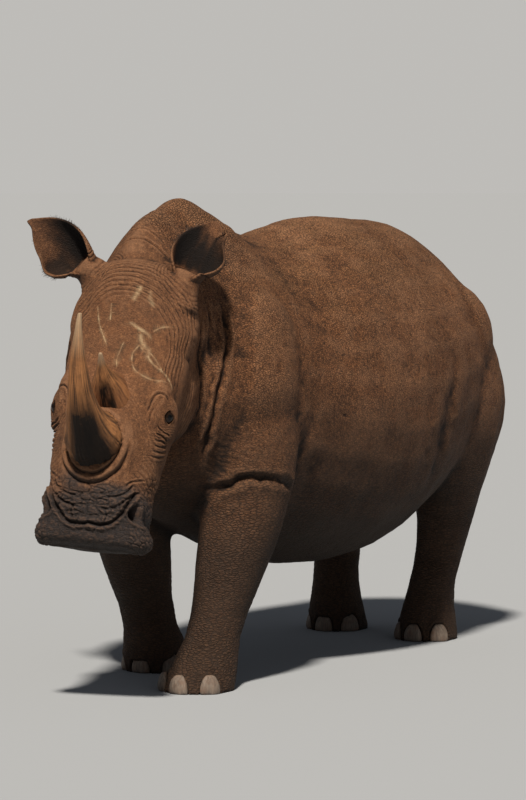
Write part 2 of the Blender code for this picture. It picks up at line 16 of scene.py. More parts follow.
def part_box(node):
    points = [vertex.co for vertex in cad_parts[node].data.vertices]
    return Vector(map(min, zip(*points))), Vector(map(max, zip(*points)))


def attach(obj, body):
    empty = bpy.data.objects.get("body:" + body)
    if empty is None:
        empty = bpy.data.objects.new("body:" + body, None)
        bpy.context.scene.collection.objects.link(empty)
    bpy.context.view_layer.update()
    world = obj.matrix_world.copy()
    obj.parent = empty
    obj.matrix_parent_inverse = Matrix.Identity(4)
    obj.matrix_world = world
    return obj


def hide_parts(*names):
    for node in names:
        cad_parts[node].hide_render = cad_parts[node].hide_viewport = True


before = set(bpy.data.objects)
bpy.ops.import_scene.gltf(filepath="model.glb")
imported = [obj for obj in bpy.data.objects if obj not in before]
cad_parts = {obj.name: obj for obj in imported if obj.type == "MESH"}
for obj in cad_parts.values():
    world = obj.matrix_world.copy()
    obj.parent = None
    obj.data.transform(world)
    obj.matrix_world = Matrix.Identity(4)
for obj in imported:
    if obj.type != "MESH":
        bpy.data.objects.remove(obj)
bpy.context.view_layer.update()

# %% [markdown]
# The head hangs low and is turned, so its features are easier to place in axes of its own: u to
# the animal's left, v from the poll down the face, w out of the forehead. The eyes give the place.

# %% Axes of the head
HEAD_PITCH, HEAD_YAW, HEAD_ROLL = math.radians(63), math.radians(15), math.radians(4)
turn = Matrix.Rotation(HEAD_YAW, 3, "Z") @ Matrix.Rotation(HEAD_ROLL, 3, "Y")
LEFT = turn @ Vector((1, 0, 0))
DOWN = turn @ Vector((0, -math.cos(HEAD_PITCH), -math.sin(HEAD_PITCH)))
OUT = turn @ Vector((0, -math.sin(HEAD_PITCH), math.cos(HEAD_PITCH)))


def middle(node):
    low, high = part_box(node)
    return (low + high) / 2


def square_to(axis, way):
    """The part of a direction that is square to an axis, one long."""
    return (way - way.dot(axis) * axis).normalized()


EYES = {1: middle("eye_left"), -1: middle("eye_right")}
POLL = (EYES[1] + EYES[-1]) / 2 - 0.540 * DOWN + 0.125 * OUT


def in_head(u, v, w):
    return POLL + u * LEFT + v * DOWN + w * OUT


print("poll", [round(value, 3) for value in POLL])

# %% [markdown]
# The camera stands 15 m off, a little to the animal's left and just above its back, with a long
# lens that looks slightly down. The floor is plain and pale. A warm sun stands high in front, and a
# broad weak lamp and a pale world fill the shadows.

# %% Camera and lamps
AZIMUTH, DISTANCE, CAMERA_HEIGHT, CAMERA_TILT = math.radians(30), 15.0, 1.97, math.radians(3.63)
AIM_Y = 0.1647
bpy.ops.object.camera_add(
    location=(DISTANCE * math.sin(AZIMUTH), AIM_Y - DISTANCE * math.cos(AZIMUTH), CAMERA_HEIGHT),
    rotation=(math.radians(90) - CAMERA_TILT, 0, AZIMUTH),
)
camera = bpy.context.object
camera.data.sensor_fit = "VERTICAL"
camera.data.sensor_height = 36
camera.data.lens = 173.7
camera.data.clip_end = 200
bpy.context.scene.camera = camera


def lamp(kind, name, place, shines_from, energy, colour):
    bpy.ops.object.light_add(type=kind, location=place)
    made = bpy.context.object
    made.name = name
    made.rotation_euler = Vector(shines_from).to_track_quat("Z", "Y").to_euler()
    made.data.energy = energy
    made.data.color = colour
    return made.data


sun = lamp("SUN", "sun_lamp", (2.6, -5.7, 8.6), (2.3, -5.6, 8.6), 4.5, (1.0, 0.92, 0.80))
sun.angle = math.radians(5)
fill = lamp("AREA", "fill_lamp", (7.5, -3.0, 3.0), (7.5, -3.0, 2.1), 16, (0.92, 0.95, 1.0))
fill.size = 5.0
print("camera and lamps placed")

# %% World and floor
world = bpy.data.worlds.new("studio")
world.use_nodes = True
nodes, links = world.node_tree.nodes, world.node_tree.links
seen = nodes["Background"]
cast = nodes.new("ShaderNodeBackground")
share = nodes.new("ShaderNodeMixShader")
seen.inputs["Color"].default_value = (0.516, 0.504, 0.482, 1)
cast.inputs["Color"].default_value = (0.80, 0.84, 0.90, 1)
cast.inputs["Strength"].default_value = 0.13
links.new(nodes.new("ShaderNodeLightPath").outputs["Is Camera Ray"], share.inputs["Fac"])
links.new(cast.outputs["Background"], share.inputs[1])
links.new(seen.outputs["Background"], share.inputs[2])
links.new(share.outputs["Shader"], nodes["World Output"].inputs["Surface"])
bpy.context.scene.world = world
bpy.context.scene.view_settings.view_transform = "Standard"

bpy.ops.mesh.primitive_plane_add(size=400, location=(0, 0, 0))
floor = bpy.context.object
floor.name = "floor"
print("world and floor made")

# %% [markdown]
# Materials are sums of patterns. A small class wraps one output of a node so that patterns can be
# added and multiplied like numbers, and a second one makes the nodes of one finish.

# %% Shader arithmetic


class Wire:
    """One output of a node. Arithmetic on it adds Math nodes."""

    def __init__(self, finish, socket):
        self.finish = finish
        self.socket = socket

    def maths(self, operation, *values):
        return self.finish.node("ShaderNodeMath", {"operation": operation}, dict(enumerate(values)))

    def __add__(self, other):
        return self.maths("ADD", self, other)

    def __radd__(self, other):
        return self.maths("ADD", other, self)

    def __sub__(self, other):
        return self.maths("SUBTRACT", self, other)

    def __rsub__(self, other):
        return self.maths("SUBTRACT", other, self)

    def __mul__(self, other):
        return self.maths("MULTIPLY", self, other)

    def __rmul__(self, other):
        return self.maths("MULTIPLY", other, self)

    def between(self, low, high):
        """0 below low, 1 above high and a straight ramp between; high may be the lower one."""
        settings = {"clamp": True}
        inputs = {"Value": self, "From Min": low, "From Max": high}
        return self.finish.node("ShaderNodeMapRange", settings, inputs)


class Finish:
    """A material and the nodes in it."""

    def __init__(self, name):
        self.material = bpy.data.materials.new(name)
        self.material.use_nodes = True
        self.tree = self.material.node_tree
        self.surface = self.tree.nodes["Principled BSDF"]

    def node(self, kind, settings, inputs, output=0):
        made = self.tree.nodes.new(kind)
        for name, value in settings.items():
            setattr(made, name, value)
        for key, value in inputs.items():
            self.feed(made.inputs[key], value)
        return Wire(self, made.outputs[output])

    def feed(self, socket, value):
        if isinstance(value, Wire):
            self.tree.links.new(value.socket, socket)
        elif isinstance(value, tuple) and len(value) == 3 and socket.type == "RGBA":
            socket.default_value = (*value, 1)
        else:
            socket.default_value = value

    def set(self, name, value):
        self.feed(self.surface.inputs[name], value)

    def place(self):
        return self.node("ShaderNodeTexCoord", {}, {}, "Object")

    def attribute(self, name):
        return self.node("ShaderNodeAttribute", {"attribute_name": name}, {}, "Fac")

    def noise(self, vector, scale, detail=4.0, roughness=0.55, distortion=0.0):
        inputs = {"Vector": vector, "Scale": scale, "Detail": detail, "Roughness": roughness}
        inputs["Distortion"] = distortion
        return self.node("ShaderNodeTexNoise", {}, inputs, "Fac")

    def cells(self, vector, scale):
        """How far a place is from the border between two cells of a mosaic."""
        settings = {"feature": "DISTANCE_TO_EDGE"}
        inputs = {"Vector": vector, "Scale": scale, "Randomness": 1.0}
        return self.node("ShaderNodeTexVoronoi", settings, inputs, "Distance")

    def stretch(self, vector, scale, turned=(0, 0, 0)):
        inputs = {"Vector": vector, "Scale": scale, "Rotation": turned}
        return self.node("ShaderNodeMapping", {}, inputs)

    def mix(self, share, below, above):
        """The colour below where the share is 0, and the one above where it is 1."""
        settings = {"data_type": "RGBA", "clamp_factor": True}
        return self.node("ShaderNodeMix", settings, {0: share, 6: below, 7: above}, 2)

    def layers(self, colour, *above):
        """A colour with others laid over it in turn, each with its share."""
        for share, upper in above:
            colour = self.mix(share, colour, upper)
        return colour

    def part(self, vector, axis):
        return self.node("ShaderNodeSeparateXYZ", {}, {"Vector": vector}, axis)

    def bump(self, height, distance, strength=1.0):
        inputs = {"Height": height, "Distance": distance, "Strength": strength}
        return self.node("ShaderNodeBump", {}, inputs)


print("patterns can be added and multiplied")

# %% Floor finish
floor_finish = Finish("studio_floor")
floor_finish.set("Base Color", (0.40, 0.42, 0.45))
floor_finish.set("Roughness", 0.9)
floor_finish.set("Specular IOR Level", 0.0)
floor.data.materials.append(floor_finish.material)
print("floor finish made")

# %% [markdown]
# The skin starts as copies of the blocks of flesh. Each block is closed, with thin gaps between
# them, and hollows where horns, eyes and ears sit. Small bodies fill those hollows, and a voxel
# remesh then pulls one closed surface over everything.

# %% Helpers for meshes


def select_only(*items):
    bpy.ops.object.select_all(action="DESELECT")
    for item in items:
        item.select_set(True)
    bpy.context.view_layer.objects.active = items[0]


def edit(item, *steps):
    """Runs operators in edit mode on the whole of an object."""
    select_only(item)
    bpy.ops.object.mode_set(mode="EDIT")
    bpy.ops.mesh.select_all(action="SELECT")
    for step, settings in steps:
        step(**settings)
    bpy.ops.object.mode_set(mode="OBJECT")


def merged_copy(name, nodes):
    """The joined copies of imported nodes, with their loose triangles merged."""
    copies = []
    for node in nodes:
        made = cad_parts[node].copy()
        made.data = made.data.copy()
        made.parent = None
        for key in list(made.keys()):
            del made[key]
        bpy.context.scene.collection.objects.link(made)
        copies.append(made)
    select_only(*copies)
    if len(copies) > 1:
        bpy.ops.object.join()
    made = bpy.context.object
    made.name = name
    made.data.name = name
    made.data.materials.clear()
    edit(made, (bpy.ops.mesh.remove_doubles, {"threshold": 0.00005}))
    return made


def modify(item, kind, **settings):
    modifier = item.modifiers.new(kind.lower(), kind)
    for name, value in settings.items():
        setattr(modifier, name, value)
    select_only(item)
    bpy.ops.object.modifier_apply(modifier=modifier.name)


def read(collection, name, width, kind=float):
    values = np.empty(len(collection) * width, kind)
    collection.foreach_get(name, values)
    return values.reshape(-1, width) if width > 1 else values


def write_points(item, points):
    item.data.vertices.foreach_set("co", points.ravel())
    item.data.update()


def triangles(item):
    item.data.calc_loop_triangles()
    return len(item.data.loop_triangles)


def tree_of(item):
    """A search tree of an object's triangles."""
    item.data.calc_loop_triangles()
    faces = read(item.data.loop_triangles, "vertices", 3, int)
    return BVHTree.FromPolygons(read(item.data.vertices, "co", 3).tolist(), faces.tolist())


def store(item, name, values):
    """Keeps a number at each point under a name that a material can ask for."""
    layer = item.data.attributes.new(name, "FLOAT", "POINT")
    layer.data.foreach_set("value", values.astype(np.float32))


def shade_smooth(item):
    select_only(item)
    bpy.ops.object.shade_smooth()


# %% Fill the hollows and pull one surface over the flesh
FLESH = ["head", "neck", "trunk", "tail"]
FLESH += ["leg_" + end + "_" + side for end in ("front", "hind") for side in ("left", "right")]
NAILS = [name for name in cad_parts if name.startswith("nail_")]
EAR_ROOTS = {1: in_head(0.165, 0.040, -0.115), -1: in_head(-0.165, 0.015, -0.115)}
EAR_RISES = {
    1: Vector((0.30, 0.28, 0.90)).normalized(),
    -1: Vector((-0.68, -0.33, 0.64)).normalized(),
}
# The first measures u, v and w. The second is right-handed, so that it can turn an object.
head_turn = Matrix((LEFT, DOWN, OUT)).transposed()
head_axes = Matrix((LEFT, -DOWN, OUT)).transposed()


def filler(place, radii, turn=head_axes):
    """An ellipsoid in the axes of the head, or in axes of its own."""
    bpy.ops.mesh.primitive_uv_sphere_add(segments=40, ring_count=24, radius=1, location=place)
    made = bpy.context.object
    made.rotation_euler = turn.to_euler()
    made.scale = radii
    bpy.ops.object.transform_apply()
    return made


def ear_root(side):
    """The fleshy foot that an ear stands on."""
    start, rise = EAR_ROOTS[side], EAR_RISES[side]
    bpy.ops.mesh.primitive_cone_add(
        vertices=40, radius1=0.078, radius2=0.049, depth=0.13, location=start
    )
    made = bpy.context.object
    made.rotation_euler = rise.to_track_quat("Z", "Y").to_euler()
    bpy.ops.object.transform_apply()
    return made


EYE_AXES = {}
fillers = [filler(in_head(-0.01, 0.695, -0.078), (0.120, 0.140, 0.072))]
for side in (1, -1):
    ahead = (side * 0.76 * LEFT + 0.62 * OUT + 0.16 * DOWN).normalized()
    lengthways = square_to(ahead, 0.96 * DOWN - 0.28 * OUT)
    EYE_AXES[side] = ahead, lengthways, ahead.cross(lengthways)
    orbit = Matrix((lengthways, ahead.cross(lengthways), ahead)).transposed()
    fillers.append(filler(EYES[side] - 0.012 * ahead, (0.085, 0.055, 0.031), orbit))
    fillers.append(ear_root(side))
blocks = merged_copy("skin", FLESH + NAILS)
select_only(blocks, *fillers)
bpy.ops.object.join()
skin = bpy.context.object
modify(skin, "REMESH", mode="VOXEL", voxel_size=0.010)
print("skin after the remesh:", len(skin.data.polygons), "faces")

# %% [markdown]
# The blocks are faceted, so the new surface still shows their flats. Relaxing it moves each point
# towards its neighbours, and then a little further back, which rounds the flats and keeps the
# volume. The body takes more of it than the head and the feet, whose forms are smaller.

# %% Relax the surface


def neighbour_mean(values, edges, count):
    """The mean of each point's neighbours along the edges."""
    total = np.bincount(edges[:, 0], values[edges[:, 1]], len(values))
    total += np.bincount(edges[:, 1], values[edges[:, 0]], len(values))
    return total / count


def relaxed(points, edges, rounds, share):
    count = np.bincount(edges.ravel(), minlength=len(points))
    for _ in range(rounds):
        for factor in (0.60, -0.61):
            means = [neighbour_mean(points[:, axis], edges, count) for axis in range(3)]
            points = points + factor * share * (np.stack(means, axis=1) - points)
    return points


def ramp(values, low, high):
    """0 at low and before, 1 at high and beyond, smooth between."""
    share = np.clip((values - low) / (high - low), 0, 1)
    return share * share * (3 - 2 * share)


def band(values, low, high, soft):
    return ramp(values, low - soft, low + soft) * (1 - ramp(values, high - soft, high + soft))


def bell(values, middle, width):
    """1 at the middle, falling smoothly to nothing on both sides."""
    return np.exp(-(((values - middle) / width) ** 2))


def within(places, low, high, reach):
    """Which places lie in a box, or not farther outside it than the reach."""
    return np.all((places > low - reach) & (places < high + reach), axis=1)


def head_coordinates(points):
    local = (points - np.array(POLL)) @ np.array(head_turn)
    return local[:, 0], local[:, 1], local[:, 2]


def in_front(points):
    """How surely a point belongs to the head: 0 on the neck and 1 from the ears forwards."""
    behind = (points - np.array((0.12, -0.80, 1.55))) @ np.array((0.18, -0.97, 0.17))
    return ramp(behind, -0.05, 0.05)


points = read(skin.data.vertices, "co", 3)
edges = read(skin.data.edges, "vertices", 2, int)
share = 1 - 0.55 * in_front(points) - 0.35 * ramp(points[:, 2], 0.55, 0.25)
points = relaxed(points, edges, 70, share[:, None])
points[:, 2] = np.where(points[:, 2] < 0.008, 0, points[:, 2])
write_points(skin, points)
print("relaxed", len(points), "points")

# %% [markdown]
# The ears are thin cups. A remesh would make them lumpy, so they are subdivided by themselves and
# then united with the skin.

# %% Unite the ears with the skin


def smooth_copy(node, levels):
    made = merged_copy(node + "_smooth", [node])
    limits = {"face_threshold": 1.2, "shape_threshold": 1.2}
    edit(made, (bpy.ops.mesh.tris_convert_to_quads, limits))
    modify(made, "SUBSURF", levels=levels, render_levels=levels)
    return made


for node in ("ear_left", "ear_right"):
    ear = smooth_copy(node, 3)
    modify(skin, "BOOLEAN", operation="UNION", solver="MANIFOLD", object=ear)
    bpy.data.objects.remove(ear)
print("skin with ears:", len(skin.data.polygons), "faces")

# %% [markdown]
# Folds need small faces. The head is subdivided twice and the skin round the eyes once more; the
# neck, the shoulders and the legs once. The joint of each ear is then relaxed until it flows.

# %% Make the faces small where the hide folds


def refine(item, inside):
    """Halves the edges of the faces whose middles lie in a region."""
    mesh = item.data
    chosen = inside(read(mesh.polygons, "center", 3))
    bpy.context.tool_settings.mesh_select_mode = (False, False, True)
    for elements in (mesh.vertices, mesh.edges):
        elements.foreach_set("select", np.zeros(len(elements), bool))
    mesh.polygons.foreach_set("select", chosen)
    select_only(item)
    bpy.ops.object.mode_set(mode="EDIT")
    bpy.ops.mesh.subdivide(number_cuts=1)
    bpy.ops.object.mode_set(mode="OBJECT")


def from_eye(points):
    near = [np.linalg.norm(points - np.array(place), axis=1) for place in EYES.values()]
    return np.minimum(*near)


def climb_of(points, side):
    """How far up an ear each point lies, from the ear's root."""
    return (points - np.array(EAR_ROOTS[side])) @ np.array(EAR_RISES[side])


def from_ear(points):
    near = []
    for side in (1, -1):
        start, rise = np.array(EAR_ROOTS[side]), np.array(EAR_RISES[side])
        along = np.clip(climb_of(points, side), 0.05, 0.35)
        near.append(np.linalg.norm(points - start - along[:, None] * rise, axis=1))
    return np.minimum(*near)


def fine_body(points):
    forward = (points[:, 1] < -0.30) & (points[:, 2] < 1.5)
    return forward | (points[:, 2] < 0.5) | (in_front(points) > 0.02)


def is_ear(points):
    highest = np.maximum(climb_of(points, 1), climb_of(points, -1))
    return (from_ear(points) < 0.16) & (highest > 0.075) & (points[:, 1] < -0.8)


refine(skin, fine_body)
refine(skin, lambda places: (in_front(places) > 0.3) & ~is_ear(places))
refine(skin, lambda places: from_eye(places) < 0.075)
points = read(skin.data.vertices, "co", 3)
edges = read(skin.data.edges, "vertices", 2, int)
joint = np.maximum(in_front(points) * 0.5, 0.2)
joint = np.maximum(joint, 1 - ramp(from_ear(points), 0.07, 0.11))
joint *= 1 - 0.9 * is_ear(points)
points = relaxed(points, edges, 6, joint[:, None])
write_points(skin, points)
print("skin ready for its folds:", len(points), "points")

# %% [markdown]
# A fold is pressed into the skin along a curve, which runs smoothly through a handful of places
# and is then put on the nearest spots of the skin. Fine wrinkles run in families: a phase counts
# them across the skin, and each whole number of it is a valley between two rounded ridges.

# %% Measure the skin for its folds
points = read(skin.data.vertices, "co", 3)
normals = read(skin.data.vertices, "normal", 3)
U, V, W = head_coordinates(points)
X, Y, Z = points.T
HEADNESS = in_front(points)
EAR = is_ear(points)
SIDE = np.where(U > 0, 1, -1)
height = np.zeros(len(points))
surface = tree_of(skin)
print(len(points), "points to fold")

# %% Noise and curves
NOISE_TABLE, MOSAIC_TABLE = 32, 16  # random patterns repeat after this many cells


def noise(places, size, seed):
    """Smooth random numbers from -1 to 1 that change over about a size in metres."""
    table = np.random.default_rng(seed).uniform(-1, 1, (NOISE_TABLE,) * 3)
    scaled = places / size
    cell = np.floor(scaled).astype(int)
    part = scaled - cell
    part = part * part * (3 - 2 * part)
    total = np.zeros(len(places))
    for corner in range(8):
        step = np.array((corner & 1, corner >> 1 & 1, corner >> 2))
        weight = np.prod(np.where(step, part, 1 - part), axis=1)
        total += weight * table[tuple(((cell + step) % NOISE_TABLE).T)]
    return total


def curve_through(places, steps=8):
    """A smooth line through places, all put on the skin."""
    places = [Vector(place) for place in places]
    chain = [places[0], *places, places[-1]]
    line = []
    for before, start, end, after in zip(chain, chain[1:], chain[2:], chain[3:]):
        for step in range(steps):
            t = step / steps
            bend = (2 * before - 5 * start + 4 * end - after) * t * t
            bend += (3 * start - before - 3 * end + after) * t**3
            line.append(start + 0.5 * ((end - before) * t + bend))
    line.append(places[-1])
    return np.array([surface.find_nearest(place)[0] for place in line])


def closest(line, spots):
    """For each spot its distance to a line, the nearest piece of it, and the share along that."""
    best = np.full(len(spots), np.inf)
    piece, share = np.zeros(len(spots), int), np.zeros(len(spots))
    for k, (start, end) in enumerate(zip(line, line[1:])):
        step = end - start
        t = np.clip((spots - start) @ step / (step @ step + 1e-12), 0, 1)
        far = np.linalg.norm(spots - start - t[:, None] * step, axis=1)
        closer = far < best
        best[closer], piece[closer], share[closer] = far[closer], k, t[closer]
    return best, piece, share


def distance_to(line, reach, shake=0.0):
    """Which points lie near a line, how far from it, and how far along it from 0 to 1."""
    near = np.flatnonzero(within(points, line.min(0), line.max(0), reach))
    shaken = np.stack([noise(points[near], 0.035, seed) for seed in (91, 92, 93)], axis=1)
    far, piece, share = closest(line, points[near] + shake * shaken)
    return near, far, (piece + share) / (len(line) - 1)


print("noise from -1 to 1:", np.round(noise(points[:4], 0.03, 7), 2))

# %% Folds, families of wrinkles and pads


def fold(places, depth, width, lip=0.35, ends=0.15):
    """Presses a valley into the skin along a curve, with raised banks beside it."""
    near, far, along = distance_to(curve_through(places), 5 * width, shake=min(0.7 * width, 0.006))
    far = far * (1 + 0.25 * noise(points[near], 0.03, 7))
    fade = ramp(along, -0.01, ends) * ramp(along, 1.01, 1 - ends)
    shape = lip * bell(far, 2.1 * width, 1.2 * width) - bell(far, 0, width)
    height[near] += depth * fade * shape * (1 + 0.3 * noise(points[near], 0.05, 8))


def both_sides(places, *measures, **settings):
    """The same fold on the left and the right half of the head, in its axes."""
    for side in (1, -1):
        fold([in_head(side * u, v, w) for u, v, w in places], *measures, **settings)


def wrinkles(phase):
    """Rounded ridges with a narrow valley at each whole number."""
    return np.abs(np.sin(np.pi * phase)) ** 0.6 - 0.75


def family(phase, amount, mask, warp=0.35, size=0.05, seed=1):
    """A family of fine wrinkles, where the mask isn't zero."""
    chosen = np.flatnonzero(mask > 0.01)
    bent = phase[chosen] + warp * noise(points[chosen], size, seed)
    uneven = 0.75 + 0.5 * noise(points[chosen], 1.7 * size, seed + 50)
    height[chosen] += amount * mask[chosen] * uneven * wrinkles(bent)


def borders(places, seed):
    """How far each place is from the border between two cells of a random mosaic of size 1."""
    middles = np.random.default_rng(seed).uniform(0, 1, (MOSAIC_TABLE,) * 3 + (3,))
    cell = np.floor(places).astype(int)
    first = np.full(len(places), np.inf)
    second = first.copy()
    for corner in range(27):
        other = cell + np.array((corner % 3, corner // 3 % 3, corner // 9)) - 1
        middle_place = middles[tuple((other % MOSAIC_TABLE).T)]
        far = np.linalg.norm(places - other - middle_place, axis=1)
        second = np.minimum(second, np.maximum(first, far))
        first = np.minimum(first, far)
    return second - first


def pads(stretch, size, depth, mask, seed):
    """Parts the skin into irregular pads with creases between them, where the mask isn't zero."""
    chosen = np.flatnonzero(mask > 0.01)
    places = np.stack((U, V, W), axis=1)[chosen] * stretch / size
    border = borders(places + 0.35 * noise(places, 0.8, seed)[:, None], seed)
    height[chosen] += depth * mask[chosen] * (0.25 - bell(border, 0, 0.16))


def on_head(v_limits, w_limits, u_ramp=None):
    """A mask on both sides of the head: soft bands of v and w, and a ramp of u outwards."""
    mask = HEADNESS * band(V, *v_limits) * band(W, *w_limits)
    return mask if u_ramp is None else mask * ramp(np.abs(U), *u_ramp)


print("folds, families and pads can be pressed into", len(height), "points")

# %% [markdown]
# Over the forehead the wrinkles arch from ear to ear. Round each ear they run in rings, and on the
# nape straight across. They are fine and close, about 10 to 20 mm apart.

# %% Wrinkles of the forehead, the ear roots and the nape
unrolled = np.abs(U) + 0.55 * np.clip(-0.035 - W, 0, 0.12)
arch = np.hypot(1.05 * unrolled, np.minimum(V - 0.33, 0.6 * (V - 0.33)))
brow = HEADNESS * ~EAR * ramp(W, -0.26, -0.17) * (1 - ramp(V, 0.36, 0.46))
brow_rows = brow * band(arch, 0.205, 0.350, 0.020)
family(arch / 0.0170, 0.0042, brow_rows, warp=0.85, size=0.075, seed=1)
family(arch / 0.0098, 0.0016, brow_rows, warp=1.0, size=0.045, seed=6)
family(arch / 0.0085, 0.0007, brow * band(arch, 0.10, 0.21, 0.03), warp=1.1, size=0.05, seed=2)
for side in (1, -1):
    ring = np.linalg.norm(points - np.array(EAR_ROOTS[side] + 0.03 * EAR_RISES[side]), axis=1)
    climb = climb_of(points, side)
    foot = band(ring, 0.062, 0.135, 0.018) * (1 - ramp(climb, 0.06, 0.10))
    family(ring / 0.0125, 0.0046, foot * (1 - 0.5 * brow_rows), warp=0.5, seed=3)
nape = (1 - HEADNESS) * ramp(Z, 1.42, 1.52) * band(Y, -0.86, -0.66, 0.05)
family((Y - 0.35 * Z) / 0.021, 0.0026, nape, seed=4)
fold(
    [(-0.10, -0.86, 1.60), (0.0, -0.845, 1.635), (0.10, -0.83, 1.64), (0.20, -0.82, 1.58)],
    0.006, 0.005,
)
fold([(-0.06, -0.80, 1.66), (0.06, -0.785, 1.68), (0.15, -0.79, 1.65)], 0.003, 0.004)
print("forehead folded, deepest", round(float(height.min()), 4))

# %% [markdown]
# A thick roll of skin lies between two creases round the lower half of the front horn, and a low
# ring inside it.

# %% Rings under the front horn
horn_ring = np.hypot(1.20 * (U + 0.010), V - 0.690)
horn_angle = np.arctan2(np.abs(U + 0.010), V - 0.690)
on_face = HEADNESS * ramp(W, -0.14, -0.09)
below_horn = on_face * ramp(horn_angle, 1.75, 1.15)
height += 0.0090 * below_horn * bell(horn_ring, 0.139, 0.011)
height -= 0.0070 * below_horn * bell(horn_ring, 0.1225, 0.0045)
height -= 0.0085 * below_horn * bell(horn_ring, 0.1555, 0.0055)
height += 0.0040 * on_face * bell(horn_ring, 0.116, 0.010)
around_ring = on_face * band(horn_ring, 0.165, 0.23, 0.02) * (1 - below_horn)
family(horn_ring / 0.012, 0.0011, around_ring, seed=5)
print("horn rings made")

# %% [markdown]
# The eye is small and set low on the side of the head. Two lids wrap the ball, a hooded fold hangs
# above it, arcs of thin skin surround it, and below it six bags droop one under another, with
# finer wrinkles between them.

# %% Lids and folds of the eyes
LID_RADIUS, OPENING_LENGTH, OPENING_HEIGHT = 0.0290, 0.0262, 0.0212
eye_moves = np.zeros_like(points)
for side in (1, -1):
    place = np.array(EYES[side])
    ahead, along_eye, across_eye = EYE_AXES[side]
    offset = points - place
    close = np.linalg.norm(offset, axis=1) < 0.09
    near = np.flatnonzero(close & (offset @ np.array(ahead) > -0.01))
    a, s, t = [offset[near] @ np.array(way) for way in (ahead, along_eye, across_eye)]
    edge_height = OPENING_HEIGHT * np.clip(1 - (s / OPENING_LENGTH) ** 2, 0, 1)
    outside = np.abs(t) - edge_height
    rim = np.where(np.abs(s) < OPENING_LENGTH, outside, np.hypot(np.abs(s) - OPENING_LENGTH, t))
    lateral = np.hypot(s, t)
    dome = np.sqrt(np.clip(LID_RADIUS**2 - lateral**2, 0, None))
    sunk = np.sqrt(np.clip((LID_RADIUS - 0.0075) ** 2 - lateral**2, 0, None))
    lid = np.maximum(a, dome) + 0.0012 * bell(rim, 0.0025, 0.0018)
    share = 1 - ramp(lateral, 0.0260, 0.039)
    target = np.where(rim > 0.0, a + (lid - a) * share, np.minimum(a, sunk))
    eye_moves[near] += (target - a)[:, None] * np.array(ahead)
    ringed = np.zeros(len(points))
    ringed[near] = rim
    mask = np.zeros(len(points))
    mask[near] = band(rim, 0.0065, 0.036, 0.004)
    family(ringed / 0.0062, 0.0016, mask, warp=0.25, size=0.02, seed=11)
for k in range(6):
    v, sag = 0.582 + 0.0205 * k, 0.016 - 0.001 * k
    across = (-0.092, -0.113, -0.138, -0.162, -0.184, -0.202)
    droop = (-0.9, -0.1, 0.3, 0.3, -0.1, -0.9)
    level = [v + sag * fall + 0.42 * (w + 0.147) for w, fall in zip(across, droop)]
    bag = [(0.190, v, w) for v, w in zip(level, across)]
    both_sides(bag, 0.0044 - 0.0003 * k, 0.0032, lip=0.60)
both_sides(
    [(0.150, 0.548, -0.055), (0.155, 0.512, -0.055), (0.170, 0.482, -0.060), (0.192, 0.474, -0.075),
     (0.207, 0.488, -0.10)],
    0.0062, 0.0040,
)
both_sides([(0.162, 0.585, -0.075), (0.160, 0.555, -0.070), (0.166, 0.528, -0.068)], 0.0030, 0.0035)
bag_rows = V - 0.42 * (W + 0.147) + 1.6 * (W + 0.147) ** 2
bags = HEADNESS * band(bag_rows, 0.568, 0.715, 0.012) * band(W, -0.205, -0.088, 0.012)
bags *= ramp(np.abs(U), 0.10, 0.14)
family(bag_rows / 0.0098, 0.0019, bags, warp=0.55, size=0.035, seed=12)
behind_eye = on_head((0.47, 0.62, 0.03), (-0.235, -0.17, 0.02))
family((W + 0.25 * V) / 0.013, 0.0014, behind_eye, seed=13)
print("eyes folded")

# %% [markdown]
# The muzzle is broad and square. Deep creases cross it and sag in the middle, finer ones break the
# skin between them into pads, and a smooth upper lip hangs below the last crease. The nostrils are
# commas on its sides. The mouth runs round the front and back to a corner under the cheek.

# %% Creases of the muzzle
muzzle = HEADNESS * ramp(V, 0.80, 0.88)
front = ramp(W, -0.20, -0.12)
both_sides(
    [(0.158, 0.845, -0.10), (0.148, 0.880, -0.09), (0.135, 0.912, -0.09), (0.116, 0.938, -0.095),
     (0.082, 0.965, -0.11), (0.040, 0.974, -0.115), (-0.004, 0.970, -0.11)],
    0.0135, 0.0060, ends=0.05,
)
both_sides(
    [(0.172, 0.835, -0.12), (0.155, 0.858, -0.09), (0.135, 0.880, -0.085), (0.105, 0.905, -0.085),
     (0.072, 0.917, -0.085), (0.030, 0.921, -0.085)],
    0.0075, 0.0045,
)
both_sides(
    [(0.145, 0.822, -0.09), (0.128, 0.855, -0.08), (0.088, 0.878, -0.075), (0.045, 0.885, -0.07)],
    0.0055, 0.0038,
)
both_sides([(0.168, 0.790, -0.12), (0.150, 0.812, -0.08), (0.120, 0.835, -0.07)], 0.0045, 0.0038)
both_sides([(0.060, 0.922, -0.085), (0.066, 0.945, -0.09), (0.058, 0.968, -0.11)], 0.0045, 0.0035)
both_sides([(0.100, 0.882, -0.08), (0.108, 0.905, -0.08), (0.118, 0.932, -0.09)], 0.0040, 0.0032)
between = muzzle * front * (1 - ramp(V + 3.0 * U * U, 0.985, 1.01))
pads((0.42, 1, 0.7), 0.0230, 0.0050, between, 22)
pads((0.60, 1, 1), 0.0120, 0.0011, between, 24)
pads((0.70, 1, 1), 0.0160, 0.0010, muzzle * ramp(W, -0.30, -0.24), 23)
mouth_corner = HEADNESS * ramp(V, 0.72, 0.80) * band(W, -0.27, -0.13, 0.03)
pads((1, 1.2, 0.6), 0.021, 0.0032, mouth_corner * ramp(np.abs(U), 0.12, 0.16), 25)
nose_side = on_head((0.70, 0.84, 0.03), (-0.17, -0.06, 0.03), (0.11, 0.14))
family((V + 0.6 * W) / 0.017, 0.0020, nose_side, warp=0.6, size=0.04, seed=24)
print("muzzle creased")

